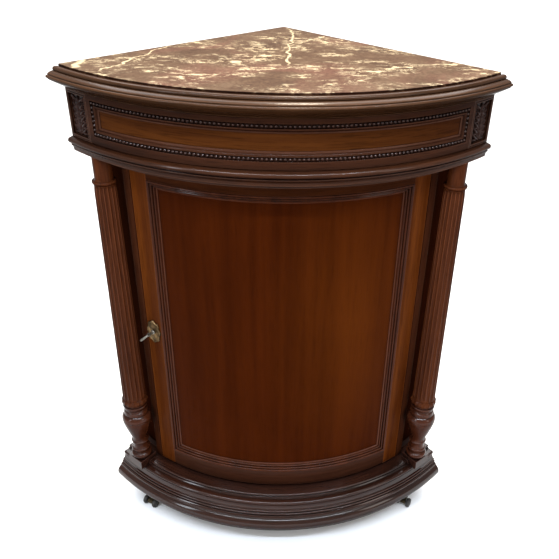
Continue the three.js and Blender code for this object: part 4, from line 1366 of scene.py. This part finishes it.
# %% The key
def key_stem():
    outline = [
        (0, key_tip), (2.3, key_tip), (2.3, collar_low), (4.2, collar_low),
        *curve(3.4, collar_low + 1.6, 1.4, -60, 70, 4), (3.2, collar_low + 3.4),
        (2.9, stem_end - 6), (3.1, stem_end - 5), *curve(3, stem_end - 3.4, 1.5, -60, 60, 4),
        (3, stem_end - 1.4), (2.6, stem_end), (0, stem_end + 0.4),
    ]
    bm = turned(outline, steps=24)
    rotate(bm, math.pi / 2, "X")
    return bm


def add_key_bow(bm):
    bar = [bm.verts.new((x, 0, z)) for x, z in curve(0, bow_radius, bar_radius, 0, 324, 9)]
    face = bm.faces.new(bar)
    stem = set(bm.verts) - set(bar)
    spin(bm, [face, *face.edges, *bar], 2 * math.pi, 36, axis=(1, 0, 0), merge=True)
    ring = [v for v in bm.verts if v not in stem]
    # The bar's first section would be a wall inside the ring, so it is taken out.
    walls = [f for f in bm.faces if len(f.verts) > 4 and stem.isdisjoint(f.verts)]
    bmesh.ops.delete(bm, geom=walls, context="FACES_ONLY")
    bmesh.ops.scale(bm, vec=(1, 10 / 14, 1), verts=ring)
    rotate(bm, key_rest_turn, "Y", ring)
    move(bm, (0, -(stem_end + 7.8), 0), ring)


def key():
    bm = key_stem()
    add_key_bow(bm)
    rotate(bm, lock_angle, "Z")
    move(bm, (0, back_y, lock_height))
    return bm


finish_piece("door_key", key(), worn_steel, "key", slot="steel", body="key", ease=0)


# %% The scalloped plate
plate_half_width = 17
plate_half_height = 26.5
lobes = 8


def scalloped_disc(bm):
    standing = Matrix.Rotation(math.pi / 2, 4, "X")
    bmesh.ops.create_circle(bm, segments=96, radius=1, cap_ends=True, matrix=standing)
    for vert in bm.verts:
        turn = math.atan2(vert.co.z, vert.co.x)
        lobe = 1 - 0.06 * (1 - math.cos(lobes * turn))
        vert.co.x = plate_half_width * lobe * math.cos(turn)
        vert.co.z = plate_half_height * lobe * math.sin(turn)
        vert.co.y = 0
    bm.faces.ensure_lookup_table()
    return bm.faces[0]


def escutcheon():
    bm = bmesh.new()
    rise, rosette, spray = 1.8, 11.5, -8
    grown = thicken(bm, [scalloped_disc(bm)], (0, -rise, 0), keep=True)
    front = next(item for item in grown if isinstance(item, bmesh.types.BMFace))
    bmesh.ops.recalc_face_normals(bm, faces=bm.faces)
    step_inwards(bm, front, [(0, 0), (0.5, 0.6), (1.4, 0.6), (2.0, -0.5), (2.6, -0.7)])
    for step in range(6):
        leaf(bm, (0, rosette), 6.5, 3.4, step * 60, 1, 0)
    leaf(bm, (0, spray), 13, 6, 180, 1.1, 0.3)
    for side in (-1, 1):
        leaf(bm, (side, spray), 11, 4.5, 180 - side * 38, 1.1, 0.3)
        scroll(bm, (side * 8, 0), 3.6, side, 6)
    for vert in bm.verts:
        across, back, up = vert.co
        back = min(back, 0) if back > -1.2 else back
        vert.co = on_bow(plate_low - back, lock_angle + across / door_radius, up + lock_height)
    return bm


finish_piece(
    "scalloped_plate", escutcheon(), old_brass, "escutcheon", slot="brass", body="door",
    ease=0, crease=50,
)

# %% [markdown]
# ## Casters
#
# Each foot rolls on two small iron wheels with a brass horn between them. Plain discs would do
# for the wheels, so low in the shade, but a rounded tread is what touches the floor. So they
# are turned like the columns' feet, and the horn only needs its edges eased. Both ride on
# bodies of their own, so they can swivel and roll.

# %% The pair of wheels
wheel_lift = 11
wheel_trail = 6


def caster_wheels(place, turn):
    half = [
        (1.8, 8.5), (9, 8.5), (9.8, 8.9), *curve(8.6, 12.5, 2.4, -60, 60, 6), (9.8, 16.1),
        (9, 16.5), (6.6, 16.3), (5.6, 15.9), (4.6, 16.5), (3.4, 17.4), (0, 17.5),
    ]
    bm = turned([(radius, -across) for radius, across in reversed(half)] + half, steps=40)
    rotate(bm, math.pi / 2, "Y")
    move(bm, (0, -wheel_trail, wheel_lift))
    rotate(bm, turn, "Z")
    move(bm, (*place, 0))
    return bm


print("a wheel is", 2 * wheel_lift, "mm high")

# %% Wheels, horns and plates
front_caster = base_radius - 30
caster_angle = math.radians(36)
front_turn = math.radians(-30)
caster_places = {
    "front_left": (*on_bow(front_caster, -caster_angle, 0).xy, front_turn),
    "front_right": (*on_bow(front_caster, caster_angle, 0).xy, front_turn),
    "back": (0, back_y - 34, 0),
}
for name, (*place, turn) in caster_places.items():
    finish_piece(
        "turned_wheels_" + name, caster_wheels(place, turn), dark_iron, "caster_wheels_" + name,
        slot="cast_iron", body="wheels_" + name, ease=0.2,
    )
    horn, plate = "caster_horn_" + name, "caster_plate_" + name
    eased_copy("eased_horn_" + name, horn, blackened_brass, "brass", "horn_" + name, ease=0.5)
    eased_copy("eased_plate_" + name, plate, dark_iron, "cast_iron", ease=0.3)

# %% [markdown]
# ## Screws
#
# Slotted screws hold the lock's case and the caster plates. A head is a low disc with a slot
# sawn across it. Instead of cutting, we lay two half discs beside the slot and a thinner whole
# disc below them.

# %% One slotted head
slot_half = 0.35
slot_floor = 0.4
head_rise = 0.9


def half_disc(bm, face, side, older):
    bmesh.ops.bisect_plane(
        bm, geom=[*face.verts, *face.edges, face], plane_co=(0, side * slot_half, 0),
        plane_no=(0, side, 0), clear_inner=True,
    )
    flat = [v for v in bm.verts if v not in older and abs(v.co.z) < 0.001]
    return max(flat, key=lambda v: side * v.co.y).link_faces[0]


def screw_head(bm, radius, place, outwards):
    older = set(bm.verts)
    tilt = Vector((0, 0, 1)).rotation_difference(Vector(outwards)).to_matrix()
    for side in (-1, 0, 1):
        disc = bmesh.ops.create_circle(bm, segments=20, radius=radius, cap_ends=True)["verts"]
        face = disc[0].link_faces[0]
        if side:
            face = half_disc(bm, face, side, older)
        thicken(bm, [face], (0, 0, head_rise if side else slot_floor), keep=True)
        fresh = [v for v in bm.verts if v not in older]
        bmesh.ops.rotate(bm, cent=(0, 0, 0), matrix=tilt, verts=fresh)
        move(bm, place, fresh)
        older.update(fresh)


print("a screw's slot is", 2 * slot_half, "mm wide")

# %% Screws in the lock and in the caster plates
case_face = door_radius - door_thickness - 2 * seam - 10
case_angle = -door_half_angle + 15 / lock_from_corner
lock_screw_radius = 2.4
screw_across, screw_up = 9, 26
lock_screws = bmesh.new()
for sideways in (-screw_across, screw_across):
    angle = case_angle + sideways / case_face
    inwards = on_bow(0, angle, 0) - on_bow(1, angle, 0)
    for rise in (-screw_up, screw_up):
        spot = on_bow(case_face, angle, lock_height + rise)
        screw_head(lock_screws, lock_screw_radius, spot, inwards)
finish_piece("lock_screws", lock_screws, worn_steel, slot="steel", body="door", ease=0)

plate_screw_radius = 1.5
screw_circle = 12.9
plate_under = 46.7
plate_screws = bmesh.new()
for x, y, turn in caster_places.values():
    for third in range(3):
        angle = turn + third * 2 * math.pi / 3
        spot = (x + screw_circle * math.sin(angle), y - screw_circle * math.cos(angle), plate_under)
        screw_head(plate_screws, plate_screw_radius, spot, (0, 0, -1))
finish_piece("plate_screws", plate_screws, worn_steel, slot="steel", ease=0)

# %% [markdown]
# ## Remaining solids
#
# Small metal pieces, such as the pivot plates and the lock's case, keep their solids and only
# take a finish. Every other solid gets the finish of its slot too, in case it is ever shown.

# %% Finishes on the solids that stay
finish_of_slot = {
    "brass": old_brass, "steel": worn_steel, "cast_iron": dark_iron, "marble": marble,
    "carcass_wood": raw_wood, "door_veneer": door_wood, "dark_mahogany": base_wood,
    "mahogany": upright_wood,
}
slot_of_node = {p["node"]: p["material_slot"] for p in frame["record"]["subparts"]}
for node, piece in frame["nodes"].items():
    piece.data.materials.clear()
    piece.data.materials.append(finish_of_slot[slot_of_node[node]])
print("finished solids:", len(slot_of_node))

# %% [markdown]
# ## Studio
#
# The cabinet stands on a plain pale floor. One soft lamp would show its shape, but polish shows
# what it mirrors, so there are six. A very large soft one hangs above and a little in front,
# and a wide one far behind brightens the floor there. A tall narrow window stands at the left,
# and a weak warm fill at the right. A long thin strip in front draws a cool streak along the
# mouldings, and a small warm lamp high behind the cabinet glints on the cornice. A white sky
# keeps the shadows from going black.

# %% Floor
floor_reach = 12


def floor():
    bm = bmesh.new()
    bmesh.ops.create_grid(bm, x_segments=1, y_segments=1, size=floor_reach)
    finish = start_finish(
        "pale floor", Specular_IOR_Level=0.0, Base_Color=(0.86, 0.86, 0.86, 1), Roughness=1.0,
    )[0]
    link_mesh("floor", bm, finish)


floor()
print("the floor is", 2 * floor_reach, "m wide")


# %% Lights
def soft_light(name, place, target, size, power, colour=(1, 1, 1)):
    lamp = bpy.data.lights.new(name, "AREA")
    lamp.shape = "RECTANGLE"
    lamp.size, lamp.size_y = size
    lamp.energy = power
    lamp.color = colour
    made = bpy.data.objects.new(name, lamp)
    made.location = place
    made.rotation_euler = (Vector(target) - Vector(place)).to_track_quat("-Z", "Y").to_euler()
    bpy.context.collection.objects.link(made)


soft_light("ceiling light", (0.1, -0.9, 3.2), (0, -0.1, 0.4), (3.2, 3.2), 75, (1, 0.985, 0.96))
soft_light("back light", (0, 5, 6), (0, 5, 0), (8, 6), 800)
soft_light("window", (-2.6, -2.4, 1.9), (0, -0.2, 0.5), (0.4, 1.8), 34, (0.84, 0.92, 1))
soft_light("right fill", (2.3, -2.0, 1.5), (0, -0.2, 0.5), (0.8, 1.2), 14, (1, 0.93, 0.85))
soft_light("strip light", (0, -1.3, 2.4), (0, -0.25, 0.4), (2.6, 0.06), 60, (0.76, 0.86, 1))
soft_light("small lamp", (0.1, 0.45, 2.4), (0, -0.25, 1), (0.25, 0.25), 22, (1, 0.88, 0.68))

world = bpy.data.worlds.new("studio")
bpy.context.scene.world = world
world.use_nodes = True
sky = world.node_tree.nodes["Background"].inputs
sky["Color"].default_value = (1, 1, 1, 1)
sky["Strength"].default_value = 0.5
print("lamps:", [lamp.name for lamp in bpy.data.lights])

# %% [markdown]
# ## The camera
#
# The photograph was taken from head height, close to the cabinet, looking down at it. A camera
# set by eye would never match it line for line. So its place and its three turns were fitted
# to the corners of the marble and the base. Its focal length is in pixels of the photograph.

# %% Aim the camera
picture_width = 559
focal_length = 649.5
sensor_width = 36
camera_place = (0.0095, -1.1806, 1.2576)


def aim_camera(yaw, pitch, roll):
    ahead = Vector((
        math.sin(yaw) * math.cos(pitch), math.cos(yaw) * math.cos(pitch), -math.sin(pitch),
    ))
    right = Vector((math.cos(yaw), -math.sin(yaw), 0))
    up = right.cross(ahead)
    tilted_right = math.cos(roll) * right + math.sin(roll) * up
    tilted_up = math.cos(roll) * up - math.sin(roll) * right
    turn = Matrix((tilted_right, tilted_up, -ahead)).transposed().to_4x4()
    eye = bpy.data.cameras.new("camera")
    eye.sensor_width = sensor_width
    eye.lens = focal_length / picture_width * sensor_width
    eye.shift_x = -0.047
    eye.shift_y = -0.035
    made = bpy.data.objects.new("camera", eye)
    made.matrix_world = Matrix.Translation(camera_place) @ turn
    bpy.context.collection.objects.link(made)
    bpy.context.scene.camera = made


aim_camera(yaw=0.0353, pitch=0.52, roll=0.0277)
bpy.context.scene.view_settings.view_transform = "Standard"
print("the camera's lens is", round(bpy.context.scene.camera.data.lens, 1), "mm")
